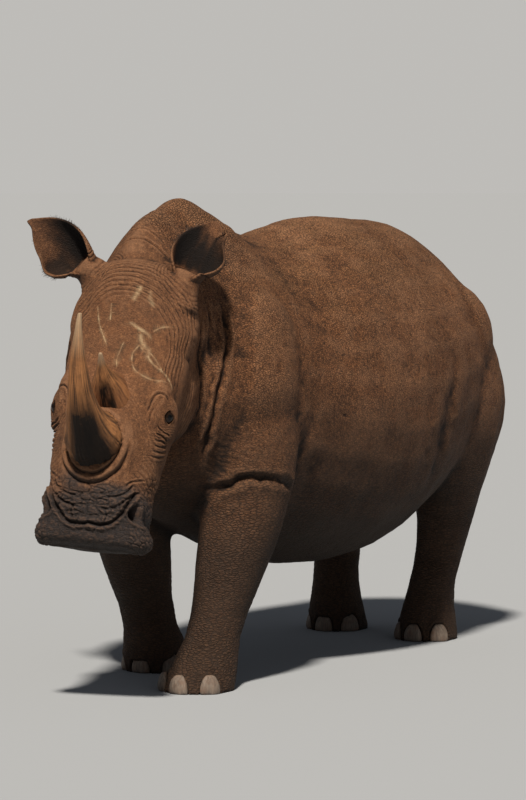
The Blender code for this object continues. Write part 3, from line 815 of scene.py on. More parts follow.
# %% Mouth, lower lip and nostrils
both_sides(
    [(-0.02, 1.045, -0.228), (0.06, 1.045, -0.228), (0.125, 1.04, -0.230), (0.175, 1.015, -0.238),
     (0.205, 0.965, -0.250), (0.205, 0.90, -0.268), (0.190, 0.84, -0.285), (0.182, 0.79, -0.300)],
    0.016, 0.0075, lip=0.28, ends=0.06,
)
lower_lip = HEADNESS * ramp(W, -0.228, -0.244) * ramp(V, 0.80, 0.92)
height -= 0.012 * lower_lip
flare = 0.013 * bell(V, 1.005, 0.035) - 0.017 * bell(V, 0.930, 0.028)
flare *= HEADNESS * ramp(np.abs(U), 0.12, 0.17) * band(W, -0.235, -0.06, 0.02)
lobe_moves = (SIDE * flare)[:, None] * np.array(LEFT)
nostril_moves = np.zeros_like(points)
for side in (1, -1):
    hole = np.array(in_head(side * 0.172, 0.922, -0.112))
    inward = (-side * 0.85 * LEFT - 0.50 * OUT - 0.15 * DOWN).normalized()
    long_way = square_to(inward, 0.80 * DOWN - 0.60 * OUT)
    short_way = inward.cross(long_way)
    offset = points - hole
    near = np.flatnonzero(np.linalg.norm(offset, axis=1) < 0.09)
    s, t = offset[near] @ np.array(long_way), offset[near] @ np.array(short_way)
    t = t + 9.0 * s * s * side
    ellipse = np.sqrt((s / 0.038) ** 2 + (t / 0.0215) ** 2)
    deep = 0.046 * (1 - ramp(ellipse, 0.25, 1.05))
    raised = 0.0065 * bell(ellipse, 1.42, 0.30)
    nostril_moves[near] += (deep - raised)[:, None] * np.array(inward)
print("mouth and nostrils folded")

# %% [markdown]
# Behind the cheek the neck hangs in long upright folds, the hindmost the deepest. The hide bulges
# over the top of each foreleg and in front of each thigh, and rings itself above the feet.

# %% Long folds of the neck, the shoulders and the flanks
BODY_FOLDS = [  # the places on the left side, then depth, width, bank and ends
    ([(0.27, -0.655, 1.44), (0.319, -0.666, 1.36), (0.336, -0.680, 1.29), (0.342, -0.702, 1.20),
      (0.326, -0.721, 1.12), (0.306, -0.723, 1.03), (0.281, -0.720, 0.95), (0.259, -0.714, 0.89),
      (0.24, -0.690, 0.83)],
     0.016, 0.011, 0.30, 0.15),
    ([(0.25, -0.740, 1.42), (0.300, -0.752, 1.33), (0.309, -0.745, 1.19), (0.290, -0.745, 1.06),
      (0.26, -0.748, 0.97)],
     0.006, 0.009, 0.35, 0.15),
    ([(0.27, -0.81, 1.38), (0.28, -0.795, 1.28), (0.272, -0.785, 1.22), (0.275, -0.772, 1.10),
      (0.25, -0.765, 0.98)],
     0.007, 0.007, 0.35, 0.15),
    ([(0.22, -0.66, 0.72), (0.30, -0.625, 0.755), (0.370, -0.60, 0.782), (0.421, -0.542, 0.777),
      (0.44, -0.47, 0.765), (0.438, -0.394, 0.745), (0.41, -0.33, 0.72)],
     0.019, 0.014, 0.22, 0.15),
    ([(0.40, -0.30, 0.74), (0.46, -0.27, 0.86), (0.485, -0.25, 1.00), (0.49, -0.26, 1.14)],
     0.005, 0.034, 0.4, 0.4),
    ([(0.44, 0.66, 0.60), (0.50, 0.62, 0.74), (0.53, 0.62, 0.90), (0.54, 0.68, 1.08),
      (0.52, 0.80, 1.24)],
     0.008, 0.040, 0.5, 0.45),
    ([(0.36, 1.30, 1.18), (0.42, 1.30, 1.00), (0.42, 1.29, 0.80), (0.36, 1.27, 0.62)],
     0.006, 0.034, 0.5, 0.4),
    ([(0.05, 1.36, 1.42), (0.11, 1.41, 1.25), (0.13, 1.43, 1.05), (0.10, 1.40, 0.86)],
     0.008, 0.020, 0.5, 0.4),
]
for side in (1, -1):
    for places, *measures in BODY_FOLDS:
        fold([(side * x, y, z) for x, y, z in places], *measures)
print(2 * len(BODY_FOLDS), "long folds")

# %% Fine rows on the neck, the throat and the legs
neck_side = (1 - HEADNESS) * band(Y, -0.90, -0.66, 0.03) * band(Z, 0.88, 1.44, 0.06)
neck_side *= ramp(np.abs(X), 0.12, 0.2)
family((Y + 0.12 * Z) / 0.023, 0.0026, neck_side, warp=0.8, size=0.11, seed=31)
cheek_back = HEADNESS * band(V, 0.05, 0.52, 0.05) * ramp(W, -0.20, -0.26) * ~EAR
family((W + 0.10 * V) / 0.020, 0.0034, cheek_back, warp=0.5, size=0.10, seed=32)
throat = band(Y, -1.0, -0.60, 0.04) * band(Z, 0.55, 0.95, 0.05) * (1 - HEADNESS)
family((Z + 0.3 * Y) / 0.03, 0.0011, throat, warp=1.0, size=0.08, seed=33)
below_knee = ramp(Z, 0.42, 0.34) * ramp(Z, 0.10, 0.14)
foot_rows = Z + 0.04 * noise(points, 0.16, 44)
family(foot_rows / 0.022, 0.0018, below_knee, warp=1.2, size=0.06, seed=34)
upper_leg = band(Z, 0.40, 0.74, 0.05) * ramp(np.abs(X), 0.10, 0.2)
leg_rows = Z + 0.15 * Y + 0.04 * noise(points, 0.16, 45)
family(leg_rows / 0.019, 0.0009, upper_leg, warp=1.1, size=0.06, seed=35)
shoulder_rows = band(Z, 0.74, 0.98, 0.06) * band(Y, -0.70, -0.30, 0.05) * ramp(np.abs(X), 0.2, 0.3)
family((Z + 0.45 * Y) / 0.020, 0.0016, shoulder_rows, warp=0.9, size=0.06, seed=36)
body = (1 - HEADNESS) * ramp(Z, 0.30, 0.60) * (1 - EAR)
height += 0.0055 * body * noise(points, 0.30, 41) + 0.0030 * body * noise(points, 0.11, 42)
height += 0.0008 * (1 - EAR) * noise(points, 0.022, 43) * (1 - 0.6 * HEADNESS)
print("body folded, heights from", height.min().round(4), "to", height.max().round(4))

# %% [markdown]
# Pale scrapes in the dried mud cross the forehead. They lie a little proud of the hide, so they
# are curves too. The ears and the cheeks are then filled out. The nails need their beds: the skin
# that was pulled over them sinks behind each one and swells into a cuticle round it.

# %% Scrapes


def on_forehead(places):
    return [in_head(u, v, -0.02 - 2.6 * u * u) for u, v in places]


SCRAPES = [  # places on the forehead in u and v, then the width
    ([(0.025, 0.226), (0.061, 0.244), (0.095, 0.260), (0.115, 0.278)], 0.0052),
    ([(0.110, 0.248), (0.134, 0.224), (0.158, 0.211), (0.185, 0.204), (0.205, 0.212)], 0.0034),
    ([(0.071, 0.262), (0.092, 0.300), (0.112, 0.334), (0.100, 0.350)], 0.0085),
    ([(0.078, 0.305), (0.121, 0.353), (0.170, 0.399), (0.193, 0.442)], 0.0040),
    ([(0.100, 0.318), (0.135, 0.345), (0.160, 0.385)], 0.0030),
    ([(0.062, 0.374), (0.086, 0.408), (0.135, 0.428), (0.171, 0.430)], 0.0034),
    ([(0.078, 0.305), (0.060, 0.340), (0.062, 0.374)], 0.0030),
    ([(-0.101, 0.167), (-0.084, 0.243), (-0.040, 0.325)], 0.0028),
    ([(-0.050, 0.161), (-0.047, 0.224)], 0.0028),
    ([(0.042, 0.085), (0.035, 0.120), (0.028, 0.145)], 0.0080),
    ([(0.080, 0.098), (0.081, 0.130), (0.095, 0.160)], 0.0070),
    ([(0.020, 0.300), (0.005, 0.360), (0.012, 0.400)], 0.0026),
]
SCRAPE_LINES = [(curve_through(on_forehead(places)), 0.75 * width) for places, width in SCRAPES]
for line, width in SCRAPE_LINES:
    near, far, _ = distance_to(line, 4 * width, shake=0.8 * width)
    height[near] += 0.0008 * bell(far, 0, width)
print(len(SCRAPE_LINES), "scrapes")

# %% Ears and cheeks
ear_moves = np.zeros_like(points)
for side, across in ((1, Vector((0.87, 0.18, -0.35))), (-1, Vector((-0.50, 0.0, -0.75)))):
    rise = EAR_RISES[side]
    across = np.array(square_to(rise, across))
    offset = points - np.array(EAR_ROOTS[side])
    climb, sideways = offset @ np.array(rise), offset @ across
    mine = EAR * (np.sign(U) == side)
    lobe = mine * band(climb, 0.075, 0.17, 0.035) * ramp(sideways, 0.0, 0.075)
    tip_place = points[mine > 0][np.argmax(climb[mine > 0] + 0.35 * sideways[mine > 0])]
    tip = mine * bell(np.linalg.norm(points - tip_place, axis=1), 0, 0.017)
    ear_moves += (0.026 * lobe + 0.010 * tip)[:, None] * across
    ear_moves += (0.016 * tip)[:, None] * np.array(rise)
temple = on_head((0.10, 0.24, 0.05), (-0.22, -0.06, 0.04), (0.13, 0.19)) * ~EAR
jowl = on_head((0.62, 0.80, 0.05), (-0.26, -0.08, 0.05), (0.12, 0.17))
cheek_moves = (SIDE * (0.020 * temple + 0.017 * jowl))[:, None] * np.array(LEFT)
print("ears and cheeks filled out")

# %% Nail beds
nail_moves = np.zeros_like(points)
for node in NAILS:
    low, high = [np.array(corner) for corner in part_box(node)]
    near = np.flatnonzero(within(points, low, high, 0.02))
    block = merged_copy("nail_bed", [node])
    bed = tree_of(block)
    far = np.array([bed.find_nearest(Vector(spot))[3] for spot in points[near]])
    push = -0.0095 * (1 - ramp(far, 0.0035, 0.0065)) + 0.0030 * bell(far, 0.011, 0.004)
    nail_moves[near] += push[:, None] * normals[near]
    bpy.data.objects.remove(block)
print(len(NAILS), "nail beds")

# %% Press the folds in
height[EAR] *= 0.3
height[Z < 0.012] = 0
moves = eye_moves + nostril_moves + lobe_moves + ear_moves + cheek_moves + nail_moves
points = points + normals * height[:, None] + moves
points[:, 2] = np.maximum(points[:, 2], 0)
write_points(skin, points)
print("skin folded:", triangles(skin), "triangles")

# %% [markdown]
# The skin now has far too many triangles to keep. The decimation takes them away where the skin is
# plain and leaves them along the folds. Numbers are then stored at each point for the colours: how
# deep it lies in a fold, how far it belongs to the face, the muzzle and a scrape, and how much
# painted shade lies inside an ear.

# %% Decimate the skin
SKIN_TRIANGLES = 192000
modify(skin, "TRIANGULATE")
modify(skin, "DECIMATE", ratio=SKIN_TRIANGLES / triangles(skin))
skin.data.materials.clear()
skin.data.polygons.foreach_set("material_index", np.zeros(len(skin.data.polygons), int))
shade_smooth(skin)
points = read(skin.data.vertices, "co", 3)
normals = read(skin.data.vertices, "normal", 3)
edges = read(skin.data.edges, "vertices", 2, int)
U, V, W = head_coordinates(points)
X, Y, Z = points.T
print("skin kept:", triangles(skin), "triangles")

# %% Measure its folds


def around(values, rounds):
    """Each value blended with those of the neighbouring points, several times."""
    count = np.bincount(edges.ravel(), minlength=len(values))
    for _ in range(rounds):
        values = 0.5 * values + 0.5 * neighbour_mean(values, edges, count)
    return values


smooth_points = relaxed(points, edges, 4, 1.0)
hollow = np.sum((smooth_points - points) * normals, axis=1)
wide_points = np.stack([around(points[:, axis], 24) for axis in range(3)], axis=1)
wide_hollow = np.sum((wide_points - points) * normals, axis=1)
sharpness = 0.0021 - 0.0009 * in_front(points) * (1 - ramp(V, 0.78, 0.88))
fold_depth = np.clip(0.5 + around(hollow, 1) / sharpness + wide_hollow / 0.012, 0, 1)
# Round each eye opening the measure is raised, so that painted shade darkens the edges of the lids.
fold_depth = np.maximum(fold_depth, 0.93 * ramp(from_eye(points), 0.0345, 0.0265))
face_share = in_front(points)
muzzle_share = face_share * ramp(V + 0.05 * noise(points, 0.06, 61), 0.79, 0.88)
print("in deep folds:", int(np.sum(fold_depth > 0.9)), "points")

# %% Painted shade inside the ears
EAR = is_ear(points)
painted_ear_shade = np.zeros(len(points))
# The way each ear opens, where its painted shade starts across it, and the least painted shade of
# its lining.
EAR_SHADE = {
    1: (Vector((0.20, -0.97, 0.0)), -0.090, 0.62),
    -1: (Vector((0.45, -0.85, 0.0)), -0.050, 0.30),
}
for side, (opening, shade_start, least) in EAR_SHADE.items():
    rise = EAR_RISES[side]
    opening = square_to(rise, opening)
    inwards = side * opening.cross(rise)
    offset = points - np.array(EAR_ROOTS[side])
    climb, medial = offset @ np.array(rise), offset @ np.array(inwards)
    forward = offset @ np.array(opening)
    # Painted shade inside the ear: on spots turned away from the opening, and on the deep side of
    # the cup near the head.
    facing = ramp(normals @ np.array(opening), -0.35, 0.1)
    facing += ramp(-(normals @ np.array(inwards)), 0.2, 0.6)
    cavity = ramp(medial + 0.15 * (0.16 - climb), shade_start, shade_start + 0.062)
    cavity *= (1 - ramp(climb, 0.22, 0.27)) * ramp(climb, 0.02, 0.06)
    mine = EAR & (np.sign(U) == side)
    lining = np.clip(facing, 0, 1) * (1 - ramp(forward, 0.01, 0.04)) * ramp(climb, 0.02, 0.06)
    painted_ear_shade[mine] = (lining * (least + (1 - least) * cavity))[mine]
print("inside the ears:", int(np.sum(painted_ear_shade > 0.5)), "points")

# %% Store the measures at the points
scraped = np.zeros(len(points))
for line, width in SCRAPE_LINES:
    near, far, along = distance_to(line, 4 * width, shake=0.8 * width)
    broken = 0.35 + 0.65 * ramp(noise(points[near], 0.016, 95), -0.5, 0.4)
    broken *= ramp(along, -0.02, 0.15) * ramp(along, 1.02, 0.85)
    scraped[near] = np.maximum(scraped[near], bell(far, 0, 1.25 * width) * broken)
store(skin, "fold", fold_depth)
store(skin, "face", face_share)
store(skin, "muzzle", muzzle_share)
store(skin, "painted_ear_shade", around(painted_ear_shade, 2))
store(skin, "scraped", scraped)
print("stored:", [layer.name for layer in skin.data.attributes])

# %% [markdown]
# The skin is laid out flat on one square map, OFBake, for its colours: head, body, legs and ears
# apart, each cut into the six sides that its faces point to. The sides are then put on shelves, the
# tallest first. The head gets more room than its size, because it is looked at most.

# %% Lay the skin out flat
BODY, LEGS, HEAD, TAIL, EARS, PARTS = 0, 1, 5, 6, 7, 9  # four legs and two ears
ROOM_ON_MAP = {HEAD: 2.4, EARS: 1.4, EARS + 1: 1.4}
corners = read(skin.data.loops, "vertex_index", 1, int).reshape(-1, 3)
A, B, C = [wide_points[corners[:, k]] for k in range(3)]
directions = np.cross(B - A, C - A)
middles = points[corners].mean(axis=1)
which_leg = (middles[:, 0] < 0) + 2 * (middles[:, 1] > 0.4)
part_of = np.where(middles[:, 2] < 0.60, LEGS + which_leg, BODY)
part_of = np.where(in_front(middles) > 0.5, HEAD, part_of)
tail_low, tail_high = [np.array(corner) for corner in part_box("tail")]
part_of = np.where(within(middles, tail_low, tail_high, 0.01), TAIL, part_of)
sides = head_coordinates(middles)[0]
part_of = np.where(is_ear(middles), EARS + (sides < 0), part_of)
flat = np.zeros((len(corners), 3, 2))
charts = []
for part in range(PARTS):
    axes = np.array([LEFT, -DOWN, OUT]) if part in ROOM_ON_MAP else np.eye(3)
    local = directions @ axes.T
    way = np.argmax(np.abs(local), axis=1)
    way = 2 * way + (np.take_along_axis(local, way[:, None], axis=1)[:, 0] < 0)
    for k in range(6):
        chosen = np.flatnonzero((part_of == part) & (way == k))
        if not len(chosen):
            continue
        across, up = axes[(k // 2 + 1) % 3], axes[(k // 2 + 2) % 3]
        spots = points[corners[chosen]] * ROOM_ON_MAP.get(part, 1.0)
        laid = np.stack((spots @ across, spots @ up), axis=2)
        laid -= laid.min(axis=(0, 1))
        flat[chosen] = laid
        charts.append((laid[..., 1].max(), laid[..., 0].max(), chosen))
charts.sort(key=lambda chart: -chart[0])
ROOM, GUTTER = 1.12 * math.sqrt(sum(tall * wide for tall, wide, _ in charts)), 0.02
shelf_x, shelf_y, shelf_tall = 0.0, 0.0, 0.0
for tall, wide, chosen in charts:
    if shelf_x > 0 and shelf_x + wide > ROOM:
        shelf_x, shelf_y, shelf_tall = 0.0, shelf_y + shelf_tall + GUTTER, 0.0
    flat[chosen] += (shelf_x, shelf_y)
    shelf_x += wide + GUTTER
    shelf_tall = max(shelf_tall, tall)
flat = 0.005 + 0.99 * flat / flat.max()
skin.data.uv_layers.new(name="OFBake")
skin.data.uv_layers["OFBake"].data.foreach_set("uv", flat.ravel())
print(len(charts), "charts laid out")

# %% [markdown]
# Dried red mud covers the hide. It is paler where dust lies on the back, and greyer where the bare
# skin shows through on the flanks and the muzzle. Shade is painted into the colour as well: dark in
# every fold, round the eyes, inside the ears and under the belly, throat and head, and, together
# with darker mud, down the legs and on the hump. Under the colour lie pebbles and cracks: polygons
# a centimetre or two across, drawn out into rows on the limbs.

# %% Patterns of the hide
hide = Finish("hide")
place = hide.place()
fold_mask = hide.attribute("fold")
face_mask = hide.attribute("face")
muzzle_mask = hide.attribute("muzzle")
height_up = hide.part(place, "Z")
way_back = hide.part(place, "Y")
upward = hide.part(hide.node("ShaderNodeNewGeometry", {}, {}, "Normal"), "Z")
wide_patches = hide.noise(place, 1.9, 5.0, 0.6, 0.5)
patches = hide.noise(hide.stretch(place, (1.0, 0.7, 1.5)), 6.5, 9.0, 0.72, 0.8)
streaks = hide.noise(hide.stretch(place, (6.0, 2.2, 3.4), (0.4, 0.2, 0.0)), 1.6, 9.0, 0.74, 1.0)
flecks = hide.noise(place, 24.0, 9.0, 0.78)
grains = hide.noise(place, 72.0, 4.0, 0.75)
speckle = hide.noise(place, 210.0, 3.0, 0.7)
crack = hide.noise(hide.stretch(place, (1.0, 0.8, 1.6), (0.2, 0.1, 0.0)), 7.0, 3.0, 0.6, 1.4)
scratches = (crack - 0.5).maths("ABSOLUTE").between(0.012, 0.0) * streaks.between(0.44, 0.58)
plates = hide.cells(hide.stretch(place, (1.0, 1.0, 2.2)), 88.0)
rows = hide.cells(hide.stretch(place, (1.0, 1.0, 2.6), (0.35, 0.0, 0.0)), 50.0)
low_down = height_up.between(1.00, 0.70) * (1 - face_mask)
net_lines = plates.between(0.16, 0.03) * (1 - low_down) + rows.between(0.16, 0.03) * low_down
print(len(hide.tree.nodes), "nodes make the patterns")

# %% Colours of the hide
rust, brown, umber = (0.295, 0.118, 0.048), (0.235, 0.105, 0.052), (0.078, 0.040, 0.023)
grey, pale, black_specks_cracks_and_shade = (0.120, 0.076, 0.054), (0.42, 0.235, 0.115), (0.016, 0.011, 0.009)
dusty = upward.between(0.40, 1.0) * streaks.between(0.40, 0.68) * (0.60 - 0.42 * face_mask)
on_hump = height_up.between(1.30, 1.60) * way_back.between(-0.35, -0.75)
mud = hide.layers(
    brown,
    (wide_patches.between(0.30, 0.70), rust),
    (flecks.between(0.42, 0.74) * 0.34, umber),
    (patches.between(0.50, 0.74) * 0.22, grey),
    (streaks.between(0.47, 0.33) * (0.56 - 0.38 * face_mask), umber),
    (dusty + flecks.between(0.58, 0.74) * 0.20, pale),
    (scratches * (0.55 - 0.55 * face_mask), (0.50, 0.33, 0.20)),
    # the face in umber, with more of it towards its lower part, where it is painted shade
    (face_mask * (height_up.between(1.22, 0.92) * 0.30 + 0.30), umber),
    # the hump darker and redder: partly its darker rust, partly painted shade
    (on_hump * 0.45, (0.105, 0.046, 0.024)),
    (muzzle_mask * 0.95, (0.033, 0.031, 0.033)),
)
grain_share = 0.60 - 0.20 * face_mask - 0.30 * muzzle_mask
grained = hide.layers(
    mud,
    (grains.between(0.52, 0.68) * grain_share, (0.50, 0.225, 0.095)),
    (grains.between(0.48, 0.32) * (0.68 - 0.24 * face_mask), (0.040, 0.022, 0.014)),
    (speckle.between(0.52, 0.76) * (0.46 - 0.32 * muzzle_mask), (0.42, 0.205, 0.100)),
    (speckle.between(0.48, 0.24) * 0.52, black_specks_cracks_and_shade),
    (fold_mask.between(0.40, 0.12) * (0.30 - 0.18 * muzzle_mask), (0.42, 0.22, 0.12)),
    (net_lines * (0.74 - 0.56 * face_mask), black_specks_cracks_and_shade),
)
# Painted shade is laid over the hide's colours, with the real pale scrapes among it.
shaded = hide.layers(
    grained,
    # darker towards the ground: painted shade, together with mud on the legs
    (height_up.between(1.12, 0.50) * (0.84 - 0.84 * face_mask), (0.030, 0.021, 0.016)),
    # near-black where the hide faces down: painted shade under the belly, the throat and the head
    (upward.between(-0.02, -0.65) * 0.72, (0.018, 0.014, 0.011)),
    # near-black in the folds and round the eye openings: painted shade
    (fold_mask.between(0.56, 0.97) * 0.88, black_specks_cracks_and_shade),
    (hide.attribute("scraped") * flecks.between(0.30, 0.52) * 0.88, (0.60, 0.43, 0.25)),
    # near-black inside the ears: painted shade
    (hide.attribute("painted_ear_shade") * 0.97, (0.006, 0.005, 0.005)),
)
hide.set("Base Color", shaded)
print("hide coloured")

# %% Gloss and relief of the hide
hide.set("Specular IOR Level", 0.20)
unevenness = hide.noise(place, 12.0, 3.0).between(0.2, 0.8)
hide.set("Roughness", unevenness * 0.16 + (0.68 - 0.14 * muzzle_mask))
net = plates.between(0.0, 0.20) * (1 - low_down) + rows.between(0.0, 0.22) * low_down
coarse = hide.noise(place, 4.0, 3.0).between(0.35, 0.65) * (0.75 - 0.45 * face_mask) + 0.25
wrinkled = hide.noise(hide.stretch(place, (1.0, 1.0, 3.5)), 55.0, 6.0, 0.65, 0.6)
relief = net * (1.00 - 0.45 * face_mask) * coarse
relief = relief + hide.cells(place, 190.0).between(0.0, 0.25) * 0.22
relief = relief + wrinkled * (0.95 - 0.35 * face_mask) + hide.noise(place, 330.0, 3.0, 0.7) * 0.24
relief = relief + hide.noise(place, 34.0, 4.0, 0.6) * (1.4 - 1.2 * face_mask)
hide.set("Normal", hide.bump(relief, 0.0052))
skin.data.materials.append(hide.material)
print("hide finished")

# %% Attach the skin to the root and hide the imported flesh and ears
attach(skin, "root")
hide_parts(*FLESH, "ear_left", "ear_right")

# %% [markdown]
# A horn is matted fibre, like hair grown together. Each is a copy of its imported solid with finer
# faces. The fibres run along it: their grooves are deep and frayed at the foot and fade towards
# the tip, which is rubbed smooth.

# %% Shape of a horn


def bent_spine(start, direction, towards, length, bend, count):
    """Places along an arc that starts in one direction and turns by an angle towards another."""
    direction = direction.normalized()
    towards = square_to(direction, towards)
    spine = [start.copy()]
    for k in range(count - 1):
        angle = math.radians(bend) * (k + 0.5) / (count - 1)
        way = math.cos(angle) * direction + math.sin(angle) * towards
        spine.append(spine[-1] + length / (count - 1) * way)
    return np.array(spine)


def horn(node, spine, fray, swell, skirt, dark):
    """swell widens or narrows it along its length; skirt spreads its foot over the face; dark gives
    the ramp of the painted shade on its lower side.
    """
    made = smooth_copy(node, 4)
    places = read(made.data.vertices, "co", 3)
    outward = read(made.data.vertices, "normal", 3)
    best, piece, share = closest(spine, places)
    along = (piece + share) / (len(spine) - 1)
    step = np.diff(spine, axis=0)[piece]
    axis_point = spine[piece] + share[:, None] * step
    heading = step / np.linalg.norm(step, axis=1)[:, None]
    across = np.array(LEFT) - (heading @ np.array(LEFT))[:, None] * heading
    across /= np.linalg.norm(across, axis=1)[:, None]
    other = np.cross(heading, across)
    offset = places - axis_point
    angle = np.arctan2(np.sum(offset * other, axis=1), np.sum(offset * across, axis=1))
    ring = np.stack((np.cos(angle), np.sin(angle), along * 0.9), axis=1)
    fibre = 0.5 * noise(ring, 0.16, 71) + 0.5 * noise(ring * (1, 1, 0.8), 0.055, 72)
    tangle = noise(np.stack((np.cos(angle), np.sin(angle), along * 6), axis=1), 0.10, 73)
    foot = ramp(along, 0.22, 0.0)
    amount = fray * (0.25 + 0.75 * foot) * ramp(along, 1.0, 0.75)
    lift = amount * (fibre + 0.7 * foot * tangle) * ramp(best, 0.0, 0.03)
    spread = np.interp(along, *swell)
    flare = skirt * ramp(along, 0.42, 0.0) ** 1.6
    places = axis_point + offset * spread[:, None] + outward * lift[:, None]
    places += flare[:, None] * (offset / (best[:, None] + 0.01) - 1.8 * np.array(OUT))
    beside = np.abs(head_coordinates(places)[0])
    places += (2.2 * flare * ramp(beside, 0.02, 0.08))[:, None] * np.array(DOWN)
    write_points(made, places)
    store(made, "fibre", 0.5 + 0.5 * fibre)
    store(made, "along", along)
    store(made, "foot", min(1, 50 * skirt) * ramp(along, 0.55, 0.05))
    # The lower side of each horn is marked for painted shade; on the rear horn it also stands for
    # the front horn's shadow.
    store(made, "front", ramp(-np.sin(angle) + 0.28 * np.cos(angle) + 0.25 * fibre, *dark))
    shade_smooth(made)
    made.name = node + "_fibres"
    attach(made, "root")
    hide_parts(node)
    print(made.name, triangles(made), "triangles")
    return made


# %% Finish of the horns
horn_finish = Finish("horn_fibre")
place = horn_finish.place()
fibre = horn_finish.attribute("fibre")
along = horn_finish.attribute("along")
foot = horn_finish.attribute("foot")
mottle = horn_finish.noise(place, 30.0, 8.0, 0.75)
fine = horn_finish.noise(place, 170.0, 4.0, 0.7)
# Painted shade, near-black, on the lower side of each horn towards its foot.
painted_horn_shade = horn_finish.attribute("front") * (along + (mottle - 0.5) * 0.30).between(0.58, 0.36)
colour = horn_finish.layers(
    (0.075, 0.037, 0.020),
    (fibre.between(0.28, 0.74), (0.460, 0.200, 0.075)),
    (mottle.between(0.46, 0.68) * 0.50, (0.100, 0.048, 0.026)),
    (fine.between(0.50, 0.75) * 0.35, (0.46, 0.235, 0.105)),
    (along.between(0.72, 0.98) * 0.80, (0.46, 0.33, 0.21)),
    (foot * 0.85, (0.200, 0.082, 0.036)),
    (painted_horn_shade * 0.98, (0.008, 0.006, 0.005)),
    # painted shade at the foot of each horn, most on the front one, where it sinks into the skin
    (along.between(0.075, 0.015) * (1 - foot) * 0.9, (0.012, 0.010, 0.008)),
)
horn_finish.set("Base Color", colour)
horn_finish.set("Specular IOR Level", 0.20)
horn_finish.set("Roughness", along.between(0.3, 1.0) * -0.25 + 0.75)
grain = horn_finish.noise(place, 260.0, 4.0, 0.7)
horn_finish.set("Normal", horn_finish.bump(fibre * 0.6 + grain * 0.5 + mottle * 0.5, 0.0022, 0.95))
print(len(horn_finish.tree.nodes), "nodes in the horn finish")

# %% The two horns
FRONT_HORN = bent_spine(in_head(-0.010, 0.690, -0.030), OUT + 0.08 * DOWN, -DOWN, 0.58, 74, 24)
REAR_HORN = bent_spine(in_head(0.0, 0.492, -0.030), OUT - 0.05 * DOWN, -DOWN, 0.19, 36, 12)
FRONT_SWELL = (0.0, 0.06, 0.13, 0.24, 0.50, 0.80, 1.0), (1.00, 1.07, 1.09, 0.97, 0.84, 0.92, 1.0)
REAR_SWELL = (0.0, 0.30, 0.70, 1.0), (1.00, 0.98, 0.95, 1.0)
front_horn = horn("horn_front", FRONT_HORN, 0.0060, FRONT_SWELL, 0.0, (0.48, 0.92))
front_horn.data.materials.append(horn_finish.material)
rear_horn = horn("horn_rear", REAR_HORN, 0.0040, REAR_SWELL, 0.014, (0.86, 1.06))
rear_horn.data.materials.append(horn_finish.material)

# %% [markdown]
# The eyes are wet balls with a domed front, a black pupil and a dark brown iris. Each ball is
# turned so that its pole looks out between the lids.

# %% The eyes
BALL_RADIUS = 0.0258
eye_finish = Finish("wet_eye")
from_pole = eye_finish.attribute("from_pole")
pupil, iris, rim = (0.002, 0.002, 0.002), (0.014, 0.007, 0.004), (0.014, 0.010, 0.008)
colour = eye_finish.layers(
    pupil, (from_pole.between(0.34, 0.40), iris), (from_pole.between(0.86, 1.02), rim)
)
eye_finish.set("Base Color", colour)
eye_finish.set("Roughness", 0.06)
eye_finish.set("Specular IOR Level", 0.25)
for side, name in ((1, "left"), (-1, "right")):
    bpy.ops.mesh.primitive_uv_sphere_add(segments=64, ring_count=48, radius=BALL_RADIUS)
    ball = bpy.context.object
    ball.name = "eyeball_" + name
    ahead = EYE_AXES[side][0]
    places = read(ball.data.vertices, "co", 3)
    polar = np.arccos(np.clip(places[:, 2] / BALL_RADIUS, -1, 1))
    places *= (1 + 0.045 * bell(polar, 0, 0.55))[:, None]
    places = places @ np.array(ahead.to_track_quat("Z", "Y").to_matrix().transposed())
    write_points(ball, places + np.array(EYES[side] - 0.0020 * ahead))
    store(ball, "from_pole", polar)
    shade_smooth(ball)
    ball.data.materials.append(eye_finish.material)
    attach(ball, "root")
    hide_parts("eye_" + name)
print("eyes made")

# %% [markdown]
# Three broad nails stand round the front of each foot. They are blunt worn horn, ridged up and
# down, and flat where they meet the ground.

# %% The nails
nail_finish = Finish("worn_nail")
place = nail_finish.place()
ridges = nail_finish.noise(nail_finish.stretch(place, (1, 1, 0.12)), 160.0, 4.0, 0.6)
stain = nail_finish.noise(place, 30.0, 5.0, 0.6)
colour = nail_finish.layers(
    (0.10, 0.075, 0.060),
    (ridges.between(0.3, 0.7), (0.24, 0.185, 0.145)),
    (stain.between(0.45, 0.70) * 0.7, (0.16, 0.085, 0.050)),
)
nail_finish.set("Base Color", colour)
nail_finish.set("Roughness", 0.62)
nail_finish.set("Normal", nail_finish.bump(ridges, 0.0012, 0.9))
for node in NAILS:
    made = smooth_copy(node, 2)
    made.name = node + "_horn"
    places = read(made.data.vertices, "co", 3)
    outward = read(made.data.vertices, "normal", 3)
    places += outward * (0.0009 * noise(places * np.array((1, 1, 0.15)), 0.006, 81))[:, None]
    places[:, 2] = np.maximum(places[:, 2], 0)
    write_points(made, places)
    shade_smooth(made)
    made.data.materials.append(nail_finish.material)
    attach(made, "root")
    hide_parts(node)
print(len(NAILS), "nails made")

# %% [markdown]
# A rhinoceros has little hair: a fringe round the ears, lashes, and a flat tuft of bristles at the
# tail's end. Each hair is a thin bent spike with its root in the skin. On the map OFBake each one
# is a small patch where its root lies on the skin's own layout.

# %% Planting hairs
PATCH_RADIUS = 0.0015
HAIR_RINGS = ((-0.08, 1.0), (0.30, 0.85), (0.65, 0.6), (1.0, 0.12))  # how far along, how wide
HAIR_POINTS = 3 * len(HAIR_RINGS)
skin_tree = BVHTree.FromPolygons(points.tolist(), corners.tolist())


